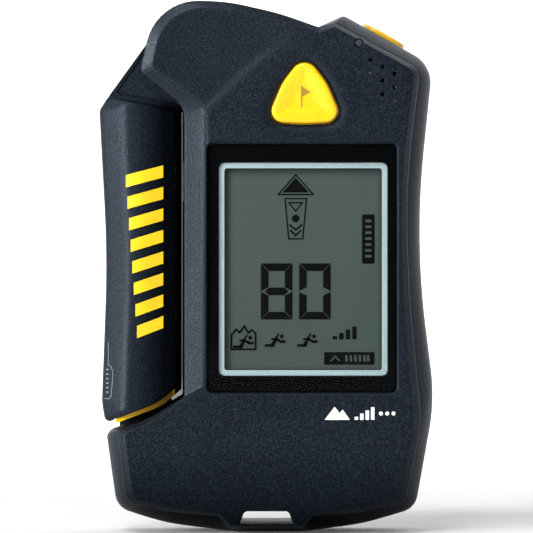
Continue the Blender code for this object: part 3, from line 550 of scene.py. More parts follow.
def sleeve():
    """A battery's printed sleeve: a dark body, a coppery band near its button and a bare end."""
    made = Finish("cell_sleeve")
    level = made.along("Z", CELLS_LOW, CELLS_HIGH)
    band = made.math("MULTIPLY", made.spread(level, 0.72, 0.725), made.spread(level, 0.95, 0.945))
    scuffs = made.noise(1.2, 5, (1, 1, 5))
    base = made.mix(band, (0.03, 0.05, 0.085), (0.62, 0.33, 0.12))
    base = made.mix(made.spread(scuffs, 0.6, 0.75, 0, 0.5), base, (0.30, 0.33, 0.38))
    ends = made.math("MAXIMUM", made.spread(level, 0.03, 0.02), made.spread(level, 0.975, 0.98))
    base = made.mix(ends, base, (0.62, 0.62, 0.6))
    return made.shade(Base_Color=base, Roughness=made.spread(scuffs, 0.4, 0.7, 0.25, 0.45),
                      Metallic=made.math("MAXIMUM", ends, made.math("MULTIPLY", band, 0.6)),
                      Normal=made.bump(scuffs, 0.01), Coat_Weight=0.4)


def panel_glass():
    """The display's reflective layer: grey green and mottled, with the frame's shadow painted on as
    darkening toward its edges.
    """
    made = Finish("display_glass")
    grain, clouds = made.noise(0.45, 2), made.noise(30, 2)
    base = made.mix(made.along("Z", 36, 81), (0.050, 0.066, 0.058), (0.054, 0.073, 0.064))
    base = made.mix(made.spread(clouds, 0.4, 0.65, 0, 0.25), base, (0.070, 0.090, 0.081))
    base = made.mix(made.spread(grain, 0.3, 0.7, 0, 0.16), base, (0.044, 0.058, 0.053))
    # painted shadow of the display frame along the panel's top, left, bottom and right edges
    top, left = made.along("Z", 78.4, 81.2), made.along("X", -7.6, -9.6)
    low, right = made.along("Z", 37.2, 35.6), made.along("X", 24.2, 25.6)
    rim = made.math("MAXIMUM", made.math("MAXIMUM", top, left), made.math("MAXIMUM", low, right))
    base = made.mix(made.spread(rim, 0, 1, 0, 0.85, smooth=True), base, (0.012, 0.016, 0.014))
    return made.shade(Base_Color=base, Roughness=made.spread(grain, 0.3, 0.7, 0.36, 0.5),
                      Normal=made.bump(grain, 0.004))


def pane():
    """Clear acrylic: it lets light through and gives a soft reflection with faint wipe marks."""
    made = Finish("window_acrylic")
    wipes = made.noise(25, 3, (3, 1, 1))
    clear = made.add("BsdfTransparent", {"Color": (0.93, 0.95, 0.95)})
    gloss = made.add("BsdfGlossy", {"Color": (0.09, 0.095, 0.105),
                                    "Roughness": made.spread(wipes, 0.35, 0.7, 0.05, 0.09)})
    outside = made.math("SUBTRACT", 1.0, made.add("NewGeometry").outputs["Backfacing"])
    facing = made.math("MULTIPLY", made.add("Fresnel", {"IOR": 1.45}).outputs[0], outside)
    both = made.add("MixShader", {0: facing, 1: clear.outputs[0], 2: gloss.outputs[0]})
    made.tree.links.new(both.outputs[0], made.output.inputs["Surface"])
    return made.material


def printed(name, colour, roughness=0.42, patchy=0.2, shine=0.4):
    """Printing ink on textured plastic: slightly uneven, with the plastic's grain under it."""
    made = Finish(name)
    fine, broad = made.noise(0.34, 3), made.noise(5, 3)
    base = made.mix(made.spread(broad, 0.4, 0.65), colour, tint(colour, 0.9))
    base = made.mix(made.spread(fine, 0.55, 0.75, 0, patchy), base, tint(colour, 0.6))
    rough = made.spread(fine, 0.3, 0.7, roughness - 0.06, roughness + 0.08)
    return made.shade(Base_Color=base, Roughness=rough, Normal=made.bump(fine, 0.012),
                      Specular_IOR_Level=shine)


def ferrite():
    made = Finish("ferrite")
    grit, broad = made.noise(0.18, 4), made.noise(3, 3)
    normal, edge = made.edges(0.15)
    base = made.mix(made.spread(grit, 0.4, 0.7), (0.03, 0.03, 0.034), (0.085, 0.085, 0.09))
    base = made.mix(made.math("MULTIPLY", edge, made.spread(broad, 0.4, 0.6)), base, (0.16, 0.16, 0.17))
    return made.shade(Base_Color=base, Roughness=made.spread(grit, 0.3, 0.7, 0.6, 0.42), Metallic=0.2,
                      Normal=made.bump(grit, 0.03, normal))


NEAR_BLACK = dict(roughness=0.42, grain=0.38, worn=1.8, tinge=(0.72, 0.86, 1.0))
YELLOW = dict(colour=(0.88, 0.50, 0.003), roughness=0.36, grain=0.5, depth=0.006, pale=0.1, worn=1.12,
              spread=0.04)
# painted shade in these finishes: black plastic darker in its lowest 20 mm, the lever's front darker
# toward its inner side below z 97, the trim strip darker from z 31.5 up, and the liner darker toward its
# inner foot
MOULDED = {
    "black_plastic": dict(NEAR_BLACK, colour=(0.0042, 0.0066, 0.0108), depth=0.06, pale=0.85, shine=0.22,
                          painted_shade=(0.75, ("Z", 20.0, 3.0))),
    "lever_plastic": dict(NEAR_BLACK, colour=(0.0040, 0.0063, 0.0104), depth=0.055, pale=0.75,
                          shine=0.20, painted_shade=(0.85, ("X", -28.5, -22.5), ("Z", 97.0, 94.5))),
    "trim_plastic": dict(colour=(0.15, 0.15, 0.16), roughness=0.45, depth=0.01, pale=0.1, worn=1.2,
                         painted_shade=(0.65, ("Z", 31.5, 35.0))),
    "liner_plastic": dict(YELLOW, painted_shade=(0.8, ("X", -30.0, -22.0), ("Z", 33.0, 31.0))),
    "yellow_plastic": dict(YELLOW, coat=0.25),
    "white_plastic": dict(colour=(0.78, 0.78, 0.76), roughness=0.45, depth=0.008, pale=0.1, worn=1.05),
    "chip_epoxy": dict(colour=(0.018, 0.018, 0.019), roughness=0.5, grain=0.2, worn=2),
    "rubber": dict(colour=(0.016, 0.016, 0.017), roughness=0.78, grain=0.6, depth=0.03, worn=1.8),
    "clear_plastic": dict(colour=(0.03, 0.034, 0.04), roughness=0.15, grain=1.2, depth=0.004, pale=0.05,
                          worn=1.3, coat=0.8),
    "window_print": dict(colour=(0.0004, 0.0004, 0.0006), roughness=0.6, grain=1.0, depth=0.0, pale=0.1,
                         worn=1.5, shine=0.05),
    "display_silver": dict(colour=(0.42, 0.52, 0.545), roughness=0.38, grain=0.5, depth=0.006, pale=0.1,
                           worn=1.1, spread=0.04),
}
PRINTED = {
    "display_ink": ((0.0022, 0.0024, 0.0022), 0.6, 0.1, 0.08), "yellow_print": ((0.82, 0.55, 0.008),),
    "pale_print": ((0.80, 0.82, 0.84),), "grey_print": ((0.16, 0.165, 0.18),),
    "tan_print": ((0.34, 0.17, 0.03),),
}
METALS = {
    "steel": ((0.58, 0.58, 0.60), 0.3), "tin_plate": ((0.66, 0.66, 0.64), 0.32, (8, 1, 1), 0.4),
    "bronze": ((0.62, 0.40, 0.16), 0.32, (8, 1, 1), 0.3),
}


def make_finishes():
    made = {name: moulded(name, **looks) for name, looks in MOULDED.items()}
    made.update({name: printed(name, *looks) for name, looks in PRINTED.items()})
    made.update({name: metal(name, *looks) for name, looks in METALS.items()})
    made.update({f"copper_{axis.lower()}": winding(f"copper_{axis.lower()}", axis) for axis in "XYZ"})
    made.update({"board_laminate": laminate(), "cell_sleeve": sleeve(), "display_glass": panel_glass(),
                 "window_acrylic": pane(), "ferrite": ferrite()})
    return made


NODE_FINISHES = {                # the CAD nodes that stay, by the start of their names
    "rubber": "housing_gasket window_seal door_seal mark_button_seal speaker_membrane",
    "display_silver": "display_frame", "display_glass": "display_panel",
    "white_plastic": "display_backlight", "board_laminate": "main_board", "tin_plate": "radio_shield",
    "chip_epoxy": "display_connector main_chip lever_sensor mark_switch scan_switch",
    "clear_plastic": "status_led led_lens", "ferrite": "x_antenna_core y_antenna_core z_antenna_core",
    "copper_z": "x_antenna_coil", "copper_x": "y_antenna_coil", "copper_y": "z_antenna_coil",
    "steel": "speaker vibration housing_screw lever_screw lever_magnet hinge_pin door_screw",
    "bronze": "battery_spring contact_plate hinge_bush", "cell_sleeve": "battery_",
    "black_plastic": "battery_door", "yellow_plastic": "lock_button",
    "trim_plastic": "side_trim_strip", "liner_plastic": "lever_liner",
}


def dress(piece, finish_name):
    piece.data.materials.clear()
    piece.data.materials.append(FINISHES[finish_name])


def dress_nodes():
    """Give every CAD node that stays its finish, by the longest start that its name has."""
    starts = {start: key for key, names in NODE_FINISHES.items() for start in names.split()}
    for name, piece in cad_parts.items():
        matches = [start for start in starts if name.startswith(start)]
        for slot in piece.material_slots if matches else ():
            slot.material = FINISHES[starts[max(matches, key=len)]]


def place(piece, body, slot, finish_name, *replaced):
    """Finish a piece, hang it on its body, and hide the CAD nodes it stands for."""
    dress(piece, finish_name)
    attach(piece, body)
    if replaced:
        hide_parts(*replaced)
    return piece


FINISHES = make_finishes()


# ---- housings

LOBE_CREASE = [(-12.6, 92.9), (-3.2, 101.9), (8.6, 111.3)]   # from the bay up to the top edge
LOBE_SINK = 0.55
DISH_SINK = 0.42
CHAMFER = [(-0.12, 0.0), (-0.05, 0.012), (0.01, 0.05), (0.08, 0.14), (0.16, 0.26), (0.84, 1.35),
           (0.92, 1.50), (0.97, 1.63), (1.0, 1.82)]           # (share of the way to COVER, depth)
FACE_SPACING = 0.75
SWELL_STEPS, SWELL_POWER = 7, 1.7


def lobe_sink(x, z):
    """How far the upper left lobe lies below the rest of the face, which ends in a soft crease."""
    best = None
    for (x0, z0), (x1, z1) in zip(LOBE_CREASE, LOBE_CREASE[1:]):
        side = Vector((x1 - x0, z1 - z0))
        share = min(max((Vector((x, z)) - Vector((x0, z0))).dot(side) / side.length_squared, 0), 1)
        foot = Vector((x0, z0)) + side * share
        away = Vector((x, z)) - foot
        over = side.x * away.y - side.y * away.x
        if best is None or away.length < abs(best):
            best = math.copysign(away.length, over)
    fade = 1 - 0.75 * smoothstep(-4, 9, x)
    return LOBE_SINK * fade * smoothstep(-0.2, 2.6, best)


def face_relief(points, y):
    """The face's shallow forms, fading out down its chamfer."""
    weight = min(max((CREASE - y) / (CREASE - FRONT), 0), 1)
    if weight == 0:
        return [0] * len(points)
    spots = [(p[0], p[1]) for p in points]
    away = distances(spots, rounded(MARK_BUTTON))
    sinks = []
    for (x, z), gap in zip(spots, away):
        dish = DISH_SINK * (1 - smoothstep(0.5, 2.1, gap))
        sinks.append(weight * (lobe_sink(x, z) + dish))
    return sinks


def lanyard_slot(name):
    lower = [(-5.9, 2.1, 0.3), (5.9, 2.1, 0.3), (4.9, 5, 1), (-4.9, 5, 1)]
    wide = shifted(lower, -0.4)
    rings = [(wide, FRONT - 3), (wide, FRONT - 0.2), (lower, FRONT + 0.8), (lower, BACK - 0.6),
             (wide, BACK + 0.4), (wide, BACK + 3)]
    return loft(name, [(rounded(outline, FEW_STEPS), y) for outline, y in rings])


def window_outline(inset=0.0):
    x0, x1, z0, z1 = WINDOW
    return rectangle(x0 + inset, x1 - inset, z0 + inset, z1 - inset, max(1.0 - inset, 0.3))


def countersunk(name, radius, x, z, end, rim=0.25, steps=24):
    """A cutter for a round hole in the front face with a small chamfer at its mouth."""
    depth = end - FRONT + 1
    profile = [(0, 0), (radius + rim, 0), (radius + rim, 1.0), (radius, 1.0 + rim), (radius, depth),
               (0, depth)]
    return turned(name, profile, (x, FRONT - 1, z), (0, 1, 0), steps)


def front_cover():
    rings = [(rounded(between(FACE, COVER, share)), FRONT + depth) for share, depth in CHAMFER]
    rings += [(rounded(COVER), PARTING - GAP), (rounded(shifted(COVER, 0.2)), PARTING - GAP / 2)]
    cover = loft("front_cover", rings, FACE_SPACING, face_relief)
    window = ((0.6, FRONT - 1), (0.6, FRONT - 0.02), (0.25, FRONT + 0.33), (0.25, -11.6))
    window = [(rounded(window_outline(-wider), FEW_STEPS), y) for wider, y in window]
    mark = ((0.6, FRONT - 1), (0.6, FRONT + 0.4), (0.3, FRONT + 0.75), (0.3, -11))
    mark = [(rounded(shifted(MARK_BUTTON, -wider)), y) for wider, y in mark]
    tools = [prism("upper_pocket", UPPER_POCKET, -12, 0), prism("lower_pocket", LOWER_POCKET, -12, 0),
             loft("window_pocket", window), prism("window_opening", window_outline(1.3), -12.5, 0),
             loft("mark_opening", mark), countersunk("led_hole", 0.95, *LED, -9, rim=0.2),
             rod("pin_hole", PIN_HOLE, (PIVOT[0], -12.7, PIVOT[1]), (PIVOT[0], -9, PIVOT[1])),
             lanyard_slot("front_slot")]
    tools += [countersunk(f"speaker_hole_{index}", 0.46, x, z, -11, rim=0.08)
              for index, (x, z) in enumerate(SPEAKER_HOLES)]
    tools += [rod(f"front_screw_{index}", 1.4, (x, -12, z), (x, -9, z), 24)
              for index, (x, z) in enumerate(HOUSING_SCREWS)]
    carve(cover, tools)
    return place(cover, "housing", "black_plastic", "black_plastic", "front_housing")


def head_room():
    """The room in the lobe for the lever's hinge head and its arm, over the lever's whole swing."""
    radius = HEAD_RADIUS + HEAD_ROOM
    wall = BAY_WALL + 0.05
    first = -math.pi + math.acos((PIVOT[0] - wall) / radius)
    outline = arc(PIVOT, radius, first, math.radians(HEAD_ENDS[1]))
    x, z = outline[-1]
    outline += [(x - 32, z - 20), (-50, 90), (wall, 90)]
    return loft("head_room", [(outline, PARTING - 1), (outline, HEAD_DEPTH[1] + GAP)])


def tub_rings():
    """The tub swells from the cover to its widest, runs straight, and rounds over to the back."""
    rings = [(shifted(COVER, 0.2), PARTING + GAP / 2), (COVER, PARTING + GAP)]
    start = PARTING + GAP
    for step in range(1, SWELL_STEPS + 1):
        share = step / SWELL_STEPS
        swelling = between(COVER, FULL, 1 - (1 - share) ** SWELL_POWER)
        rings.append((swelling, start + (WIDEST[0] - start) * share))
    rings += [(FULL, 1.5), (FULL, WIDEST[1])]
    for degrees in (15, 30, 42, 53, 63, 72, 80, 86, 90):
        angle = math.radians(degrees)
        narrowing = between(FULL, REAR, 1 - math.cos(angle))
        rings.append((narrowing, WIDEST[1] + (BACK - WIDEST[1]) * math.sin(angle)))
    return [(rounded(outline), y) for outline, y in rings]


BACK_RIB = [(-33.2, 20.8, 0.3), (-17.0, 28.5, 0.3), (-17.0, 97.0, 0.3), (-19.6, 97.0, 0.3),
            (-19.6, 34.4, 0.3), (-20.6, 32.6, 0.3), (-23.5, 29.3, 10), (-33.2, 25.3, 0.3)]
BACK_RIB_DEPTH = (12.2, 13.0)


def rear_tub():
    tub = loft("rear_tub", tub_rings())
    groove = frame_ring("seal_groove", rectangle(-16.3, 20.7, 10.2, 64.6, 1.6),
                        rectangle(-14.9, 19.3, 11.5, 63.1, 1), 11.2, 13)
    door = [(rounded(shifted(DOOR, -GAP - wider), 6), y)
            for wider, y in ((0, DOOR_INNER), (0, BACK - 0.25), (0.25, BACK + 0.05), (0.25, BACK + 2))]
    (px, pz), (sx, sz) = PIVOT, DOOR_SCREW
    tools = [prism("board_space", CAVITY, -11, -1.0),
             prism("gasket_rebate", shifted(CAVITY, -0.8), -11, -9.2),
             prism("deep_space", DEEP_CAVITY, *DEEP), prism("motor_space", MOTOR_CAVITY, *DEEP),
             prism("battery_box", rectangle(*BOX, 1), 0.8, BACK + 2), loft("door_rebate", door), groove,
             rod("screw_hole", 2.6, (sx, 9, sz), (sx, 13, sz)),
             head_room(), rod("rear_pin_hole", PIN_HOLE, (px, 9, pz), (px, 12.9, pz)),
             scan_solid("scan_opening", 5.55, 4.15, [(-0.4, -3), (-0.4, -0.1), (0, 0.3), (0, 7.2)]),
             scan_solid("scan_flange_room", 5.7, 5.0, [(0, 4.9), (0, 7.3)], corner=1),
             block("lock_opening", (-20, -15), (LOCK_Y - 3.3, LOCK_Y + 3.3),
                   (LOCK_Z - 4.8, LOCK_Z + 4.8)),
             lanyard_slot("rear_slot")]
    hole = [(0, 0), (2.65, 0), (2.65, 0.95), (2.4, 1.2), (2.4, 2.6), (1.4, 2.6), (1.4, 26), (0, 26)]
    tools += [turned(f"rear_screw_{index}", hole, (x, BACK + 1, z), (0, -1, 0), 32)
              for index, (x, z) in enumerate(HOUSING_SCREWS)]
    carve(tub, tools, [block("bay_rib", (-18.65, -17), (7.6, 8.6), (33, 88)),
                       prism("back_rib", BACK_RIB, *BACK_RIB_DEPTH)])
    return place(tub, "housing", "black_plastic", "black_plastic", "rear_housing")


# ---- lever

# (share of the way from LEVER_TOP to LEVER, y)
LEVER_EDGE = [(-0.34, -13.30), (-0.22, -13.28), (-0.1, -13.20), (0.02, -13.02), (0.14, -12.66),
              (0.26, -12.24), (0.80, -10.02), (0.90, -9.55), (0.97, -9.0), (1.0, -8.3)]
LEVER_FALL = 2.0           # how far the front falls away at the lever's inner side
HEAD_GROOVE = [(-26.9, 106.3), (-33.0, 97.6), (-32.4, 97.2), (-19.8, 94.9)]


def head_outline():
    """The round head about the pivot, with the straight arm that runs down into the lever."""
    inner = LEVER_INNER + 0.2
    first = -math.acos((inner - PIVOT[0]) / HEAD_RADIUS)
    arm = [(-34.7, 97.0), (-36.0, 94.6), (-36.0, 88), (inner, 88)]
    return arc(PIVOT, HEAD_RADIUS, first, math.radians(HEAD_ENDS[0])) + arm


def lever_relief(points, y):
    """The lever's front falls away from its ridge toward the housing."""
    weight = min(max((-10.5 - y) / 2.8, 0), 1)
    return [weight * LEVER_FALL * smoothstep(-28.5, -19.5, p[0]) for p in points]


def lever_body():
    rings = [(rounded(between(LEVER_TOP, LEVER, share)), y) for share, y in LEVER_EDGE]
    rings.append((rounded(LEVER), 7.0))
    for degrees in (0, 18, 36, 52, 66, 78, 90):
        angle = math.radians(degrees)
        inset = 0.01 + 2.2 * (1 - math.cos(angle))
        rings.append((rounded(shifted(LEVER, inset)), 9.2 + 4.2 * math.sin(angle)))
    shell = loft("lever_body", rings, 0.8, lever_relief)
    head = head_outline()
    px, pz = PIVOT
    lip = loft("head", [(head, HEAD_DEPTH[0]), (head, HEAD_DEPTH[1])])
    tools = [rod("head_bore", 3.5, (px, -12, pz), (px, 12, pz)),
             block("liner_room", (-21.75, -15), LINER_ROOM, (18, 92.5))]
    chambers = ((-33.9, 18, 27.3), (-31.6, 18.5, 45), (-31.6, 51, 78), (-31.6, 84, 90.5))
    tools += [block(f"chamber_{low}", (outer, -15), LINER_ROOM, (low, high))
              for outer, low, high in chambers]
    tools += [rod(f"thread_{level:.0f}", 1.1, (-28.7, 0, level), (-20, 0, level), 20)
              for level in LEVER_SCREWS]
    depths = (HEAD_DEPTH[0] - 0.5, HEAD_DEPTH[0] + 0.45)
    groove = [loft("groove", [(outline, y) for y in depths]) for outline in path(HEAD_GROOVE, 0.32)]
    # lever_fin is a thin dark lip behind the gap beside the housing, put there to stand in for the deep
    # shade in that gap
    carve(shell, [*tools, *groove], [lip, block("lever_fin", (-21, -18.55), (11, 11.9), (34.3, 93.4))])
    return place(shell, "lever", "black_plastic", "lever_plastic", "lever_shell")


# ---- buttons

def mark_relief(points, y):
    """The button's top is dished behind a raised rim."""
    away = distances([(p[0], p[1]) for p in points], rounded(MARK_BUTTON))
    return [0.5 * smoothstep(-0.75, -4.2, gap) if y < -14.3 else 0 for gap in away]


def mark_cap():
    rings = [(0.55, -14.49), (0.4, -14.44), (0.2, -14.30), (0.06, -14.08), (0.0, -13.8), (0.0, -11.3)]
    outlines = [(rounded(shifted(MARK_BUTTON, inset)), y) for inset, y in rings]
    button = loft("mark_cap", outlines, 0.4, mark_relief)
    flange = prism("flange", shifted(MARK_BUTTON, -0.7), -11.7, -11.1)
    carve(button, [], [flange, rod("stem", 1.6, (8.4, -11.5, 97.0), (8.4, -9.95, 97.0))])
    return place(button, "mark_button", "yellow_plastic", "yellow_plastic", "mark_button")


def scan_cap():
    levels = [(0.45, -1.0), (0.2, -0.93), (0.05, -0.75), (0, -0.45), (0, 5.5)]
    button = scan_solid("scan_cap", 5.2, 3.8, levels)
    groove = [(-0.12, -1.5), (-0.12, -0.95), (0, -0.6)]
    grooves = [scan_solid(f"grip_{step}", 0.34, 2.6, groove, shift=step * 1.5) for step in range(-2, 3)]
    carve(button, grooves, [scan_solid("scan_flange", 5.3, 4.6, [(0, 5.2), (0, 6.0)], corner=1)])
    return place(button, "scan_button", "yellow_plastic", "yellow_plastic", "scan_button")


# ---- window and display

PANE_LEVELS = [(0.2, -13.45), (0, -13.3), (0, -12.68)]   # (inset, y)
BORDER_DEPTH = (-12.66, -12.56)
INK = (-11.02, -10.96)        # depths of the dark segments, just in front of the panel
PLATE_MARKS = (-11.05, -11.03)


def ellipse(x, z, width, height, steps=24):
    angles = [2 * math.pi * step / steps for step in range(steps)]
    return [(x + width / 2 * math.cos(a), z + height / 2 * math.sin(a)) for a in angles]


def box_outline(x0, x1, z0, z1, radius=0.3):
    return [(p[0], p[1]) for p in rounded(rectangle(x0, x1, z0, z1, radius), 4)]


def flat_shapes(name, outlines, depths):
    """Thin flat solids with the given outlines, as one piece."""
    mesh_data = bmesh.new()
    for outline in outlines:
        loops = [[mesh_data.verts.new((x, y, z)) for x, z in outline] for y in depths]
        bridge(mesh_data, loops)
        mesh_data.faces.new(loops[0])
        mesh_data.faces.new(loops[1])
    return finish(name, mesh_data)


def bar(start, end, width, nips):
    """One bar of a numeral, straight on its outer side; nips cut its ends back on the inner side."""
    start, end = Vector(start), Vector(end)
    along = (end - start).normalized()
    side = Vector((-along.y, along.x)) * width
    corners = [start, start - side + along * nips[0], end - side - along * nips[1], end]
    return [(p.x, p.y) for p in corners]


def numeral(x0, x1, z0, z1, lit, width=1.7, gap=0.08):
    """A seven-bar numeral: lit names its bars out of top, base, middle, upper l and r, lower L and R."""
    middle, half = (z0 + z1) / 2, width / 2
    bars = {"T": ((x0 + gap, z1), (x1 - gap, z1), (width, width)),
            "B": ((x1 - gap, z0), (x0 + gap, z0), (width, width)),
            "l": ((x0, middle + gap), (x0, z1 - gap), (half, width)),
            "L": ((x0, z0 + gap), (x0, middle - gap), (width, half)),
            "r": ((x1, z1 - gap), (x1, middle + gap), (width, half)),
            "R": ((x1, middle - gap), (x1, z0 + gap), (half, width))}
    shapes = [bar(start, end, width, nips) for key, (start, end, nips) in bars.items() if key in lit]
    if "M" in lit:
        left, right = x0 + half + gap, x1 - half - gap
        shapes.append([(left, middle), (left + half, middle - half), (right - half, middle - half),
                       (right, middle), (right - half, middle + half), (left + half, middle + half)])
    return shapes


def direction_arrow():
    shapes = path([(2.6, 74.9), (10.35, 74.9), (6.46, 79.25)], 0.32, closed=True)
    shapes.append([(3.5, 75.35), (9.4, 75.35), (6.46, 78.6)])
    shapes += path([(4.1, 74.0), (8.85, 74.0), (8.0, 65.1), (4.9, 65.1)], 0.3, closed=True)
    shapes += path([(5.0, 73.1), (7.9, 73.1), (6.46, 71.2)], 0.3, closed=True)
    shapes.append(ellipse(6.46, 69.6, 1.7, 1.7))
    shapes += path([(5.15, 68.2), (6.46, 67.1), (7.75, 68.2)], 0.4)
    shapes += path([(5.35, 66.9), (6.46, 65.9), (7.55, 66.9)], 0.4)
    return shapes


def buried_figure(x, z):
    """A small lying figure: a head, a bent body and two limbs."""
    shapes = [ellipse(x + 3.5, z + 2.15, 0.85, 0.85)]
    for width, points in ((0.6, ((0, 0.15), (1.2, 0.15), (2.2, 1.6), (3.3, 1.0), (4.0, 1.0))),
                          (0.42, ((1.3, 1.5), (2.2, 1.75), (2.7, 2.6))),
                          (0.42, ((2.2, 1.5), (1.7, 0.1)))):
        shapes += path([(x + across, z + up) for across, up in points], width)
    return shapes


def display_shapes():
    shapes = direction_arrow()
    shapes += numeral(-1.25, 5.75, 47.3, 59.7, "TBlLrRM")
    shapes += numeral(7.2, 14.2, 47.3, 59.7, "TBlLrR")
    for x, z in ((-7.1, 41.1), (-0.1, 41.4), (7.0, 41.4)):
        shapes += buried_figure(x, z)
    ragged = [(-7.75, 40.7), (-2.4, 40.7), (-2.4, 44.2), (-3.3, 45.0), (-4.0, 44.3), (-4.9, 45.8),
              (-5.9, 44.4), (-6.7, 45.1), (-7.75, 43.9)]
    shapes += path(ragged, 0.42, closed=True)
    for step in range(4):
        left = 14.6 + 1.45 * step
        shapes.append(box_outline(left, left + 1, 42.9, 43.6 + 0.72 * step, 0.12))
    return shapes


def plate_shapes():
    """Two dark plates: one upright at the side, one along the base."""
    return [box_outline(21.1, 23.9, 59.6, 70.5, 0.25), box_outline(12.7, 23.9, 37.3, 40.1, 0.25)]


def plate_marks():
    """Light bars and a small chevron on the dark plates."""
    levels = [61 + 1.3 * step for step in range(7)]
    marks = [box_outline(21.8, 23.2, z, z + 0.55, 0.12) for z in levels]
    marks += path([(14.3, 38.2), (15.2, 39.2), (16.1, 38.2)], 0.3)
    marks += [box_outline(x, x + 0.5, 38.0, 39.4, 0.12) for x in (17.4, 18.4, 19.4, 20.4, 21.4, 22.2)]
    return marks


def window_and_display():
    slot = "window_acrylic"
    rings = [(rounded(shifted(window_outline(), inset), FEW_STEPS), y) for inset, y in PANE_LEVELS]
    place(loft("window_pane", rings), "housing", slot, "window_acrylic", "display_window")
    inner = shifted(rectangle(*DISPLAY_FRAME, 1.05), -0.25)
    border = frame_ring("window_border", window_outline(0.05), inner, *BORDER_DEPTH)
    place(border, "housing", slot, "window_print")
    for name, outlines, depths, finish_name in (
            ("display_segments", display_shapes(), INK, "display_ink"),
            ("display_plates", plate_shapes(), INK, "display_ink"),
            ("display_plate_marks", plate_marks(), PLATE_MARKS, "display_glass")):
        place(flat_shapes(name, outlines, depths), "housing", "display_glass", finish_name)


# ---- printing

def draped(name, outlines, surface, spacing=0.5, lift=0.05, thick=0.09):
    """Thin solids with the given outlines that follow the front of another piece."""
    mesh = surface.data
    tree = BVHTree.FromPolygons([v.co.copy() for v in mesh.vertices],
                                [tuple(p.vertices) for p in mesh.polygons])
    mesh_data = bmesh.new()
    for outline in outlines:
        dense = []
        for start, end in zip(outline, outline[1:] + outline[:1]):
            start, end = Vector(start), Vector(end)
            count = max(1, int((end - start).length / spacing))
            dense += [start.lerp(end, step / count) for step in range(count)]
        points, triangles = filled(dense, spacing)
        layers = [[], []]
        for p in points:
            hit = tree.ray_cast(Vector((p[0] * MM, -0.05, p[1] * MM)), Vector((0, 1, 0)))[0]
            y = hit.y / MM - lift if hit else FRONT
            layers[0].append(mesh_data.verts.new((p[0], y, p[1])))
            layers[1].append(mesh_data.verts.new((p[0], y + thick, p[1])))
        for triangle in triangles:
            mesh_data.faces.new([layers[0][index] for index in triangle])
            mesh_data.faces.new([layers[1][index] for index in reversed(triangle)])
        bridge(mesh_data, [layer[:len(dense)] for layer in layers])
    return finish(name, mesh_data)


def lever_marks():
    """A row of slanted bars that grow along the lever, like a signal gauge."""
    shapes = []
    count, pitch, slant = 8, 4.75, 2.2
    for index in range(count):
        low = 43.2 + pitch * index
        left = -31.0 + 0.35 * (count - 1 - index)
        shapes.append([(left, low), (-22.8, low + slant), (-22.8, low + 2.7 + slant), (left, low + 2.7)])
    return shapes


def tag_marks():
    """A thin outlined tag near the lever's foot, with a line above it and a few ticks in it."""
    outer = [(-35.0, 37.3), (-34.4, 36.9), (-33.95, 35.8), (-34.15, 32.5), (-34.4, 30.2), (-34.9, 29.7),
             (-36.0, 29.85)]
    shapes = path(outer, 0.13) + path([(-35.0, 42.3), (-35.0, 37.3)], 0.11)
    return shapes + [stroke((-35.35, 31.2 + tick), (-35.1, 31.2 + tick), 0.3) for tick in range(6)]


def cover_marks():
    """Small marks under the window: a solid hill, rising bars and three dots."""
    shapes = [[(12.8, 25.2), (15.0, 28.1), (16.1, 26.7), (16.8, 27.5), (18.4, 25.2)]]
    shapes += [box_outline(x, x + 0.8, 25.2, 25.9 + 0.7 * step, 0.15)
               for step, x in enumerate((19.4, 20.6, 21.8, 23.0))]
    return shapes + [ellipse(x, 26.6, 0.9, 0.9, 16) for x in (25.2, 26.6, 28.0)]


def flag_marks():
    return path([(7.75, 94.3), (7.75, 98.7)], 0.3) + [[(7.9, 98.6), (7.9, 96.4), (9.7, 97.5)]]


def printing(cover, shell, button):
    place(draped("lever_graphic", lever_marks(), shell), "lever", "yellow_plastic", "yellow_print")
    place(draped("lever_tag", tag_marks(), shell, 0.4), "lever", "grey_plastic", "grey_print")
    place(draped("cover_marks", cover_marks(), cover, 0.6), "housing", "white_plastic", "pale_print")
    place(draped("flag_mark", flag_marks(), button, 0.4), "mark_button", "yellow_plastic", "tan_print")


# ---- stage, light and camera

FLOOR_FRONT, CURVE_START, CURVE_RADIUS, WALL_TOP, HALF_WIDTH = -2.5, 0.9, 0.6, 3.0, 3.5   # metres


def studio_sweep():
    """A pale floor that curves up into a plain backdrop, and glows more the farther away it is."""
    curve = arc((CURVE_START, CURVE_RADIUS), CURVE_RADIUS, -math.pi / 2, 0, 16)
    profile = [(FLOOR_FRONT, 0.0), *curve, (CURVE_START + CURVE_RADIUS, WALL_TOP)]
    mesh_data = bmesh.new()
    sides = [[mesh_data.verts.new((x, y, z)) for y, z in profile] for x in (-HALF_WIDTH, HALF_WIDTH)]
    for index in range(len(profile) - 1):
        mesh_data.faces.new((sides[0][index], sides[1][index], sides[1][index + 1], sides[0][index + 1]))
    mesh = bpy.data.meshes.new("studio_sweep")
    mesh_data.to_mesh(mesh)
    mesh_data.free()
    mesh.shade_smooth()
    sweep = add_object("studio_sweep", mesh)
    made = Finish("studio_paper")
    base = made.mix(made.spread(made.noise(90, 3), 0.4, 0.6), (0.55, 0.55, 0.555), (0.59, 0.59, 0.59))
    flat = made.add("VectorMath", {0: made.place, 1: (1, 1, 0)}, operation="MULTIPLY").outputs["Vector"]
    away = made.add("VectorMath", {0: flat}, operation="LENGTH").outputs["Value"]
    far = made.math("MAXIMUM", made.along("Y", 60, 700), made.spread(away, 0.45, 1.3))
    glow = made.spread(far, 0, 1, 0.05, 0.9, smooth=True)
    paper = made.shade(Base_Color=base, Roughness=0.7, Normal=made.bump(made.noise(1.5, 2), 0.01),
                       Emission_Color=(1, 1, 1), Emission_Strength=glow)
    mesh.materials.append(paper)


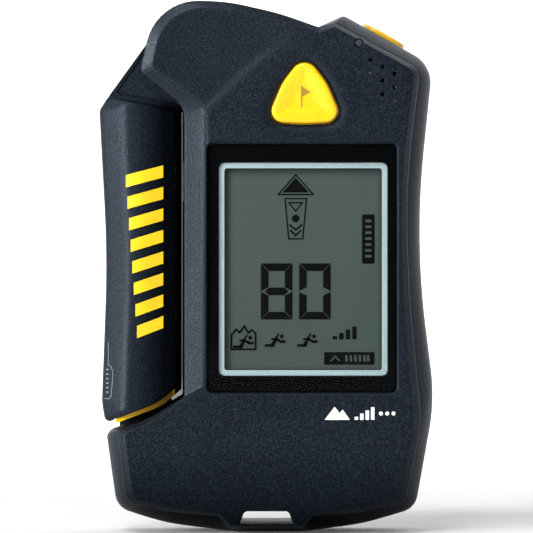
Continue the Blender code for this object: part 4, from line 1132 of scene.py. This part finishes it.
def area_light(name, place_at, aim, size, power, colour=(1, 1, 1)):
    data = bpy.data.lights.new(name, "AREA")
    data.shape = "RECTANGLE"
    data.size, data.size_y = size
    data.energy = power
    data.color = colour
    light = add_object(name, data)
    light.location = place_at
    light.rotation_euler = (Vector(aim) - Vector(place_at)).to_track_quat("-Z", "Y").to_euler()


def lights():
    middle = (0, 0, 0.06)
    area_light("key", (-0.64, -0.46, 0.20), middle, (0.26, 0.40), 9.5)
    area_light("edge", (-0.85, -0.04, 0.16), middle, (0.20, 0.40), 1.0)
    area_light("top", (-0.22, -0.52, 0.80), middle, (0.35, 0.30), 6.0)
    area_light("fill", (0.78, -0.24, 0.12), middle, (0.25, 0.50), 2.2)
    area_light("backdrop", (0.0, 0.65, 1.2), (0, 1.4, 0.1), (2.4, 0.5), 16.0)
    world = bpy.data.worlds.new("studio")
    world.use_nodes = True
    tree = world.node_tree
    tree.nodes["Background"].inputs["Color"].default_value = (0.96, 0.98, 1.0, 1)
    seen = tree.nodes.new("ShaderNodeLightPath").outputs["Is Camera Ray"]
    strength = tree.nodes.new("ShaderNodeMapRange")
    strength.inputs["To Min"].default_value = 0.03
    strength.inputs["To Max"].default_value = 0.95
    tree.links.new(seen, strength.inputs["Value"])
    tree.links.new(strength.outputs[0], tree.nodes["Background"].inputs["Strength"])
    bpy.context.scene.world = world
    bpy.context.scene.view_settings.view_transform = "Standard"


CAMERA_DISTANCE = 1.0
FRAME_WIDTH = 0.1191
CAMERA_HEIGHT = 0.0590


def camera():
    data = bpy.data.cameras.new("camera")
    data.sensor_width = 36
    data.lens = data.sensor_width * CAMERA_DISTANCE / FRAME_WIDTH
    made = add_object("camera", data)
    made.location = (0, -CAMERA_DISTANCE, CAMERA_HEIGHT)
    made.rotation_euler = (math.radians(90), 0, 0)
    bpy.context.scene.camera = made


camera()
lights()
studio_sweep()
dress_nodes()
cover = front_cover()
rear_tub()
shell = lever_body()
button = mark_cap()
scan_cap()
window_and_display()
printing(cover, shell, button)
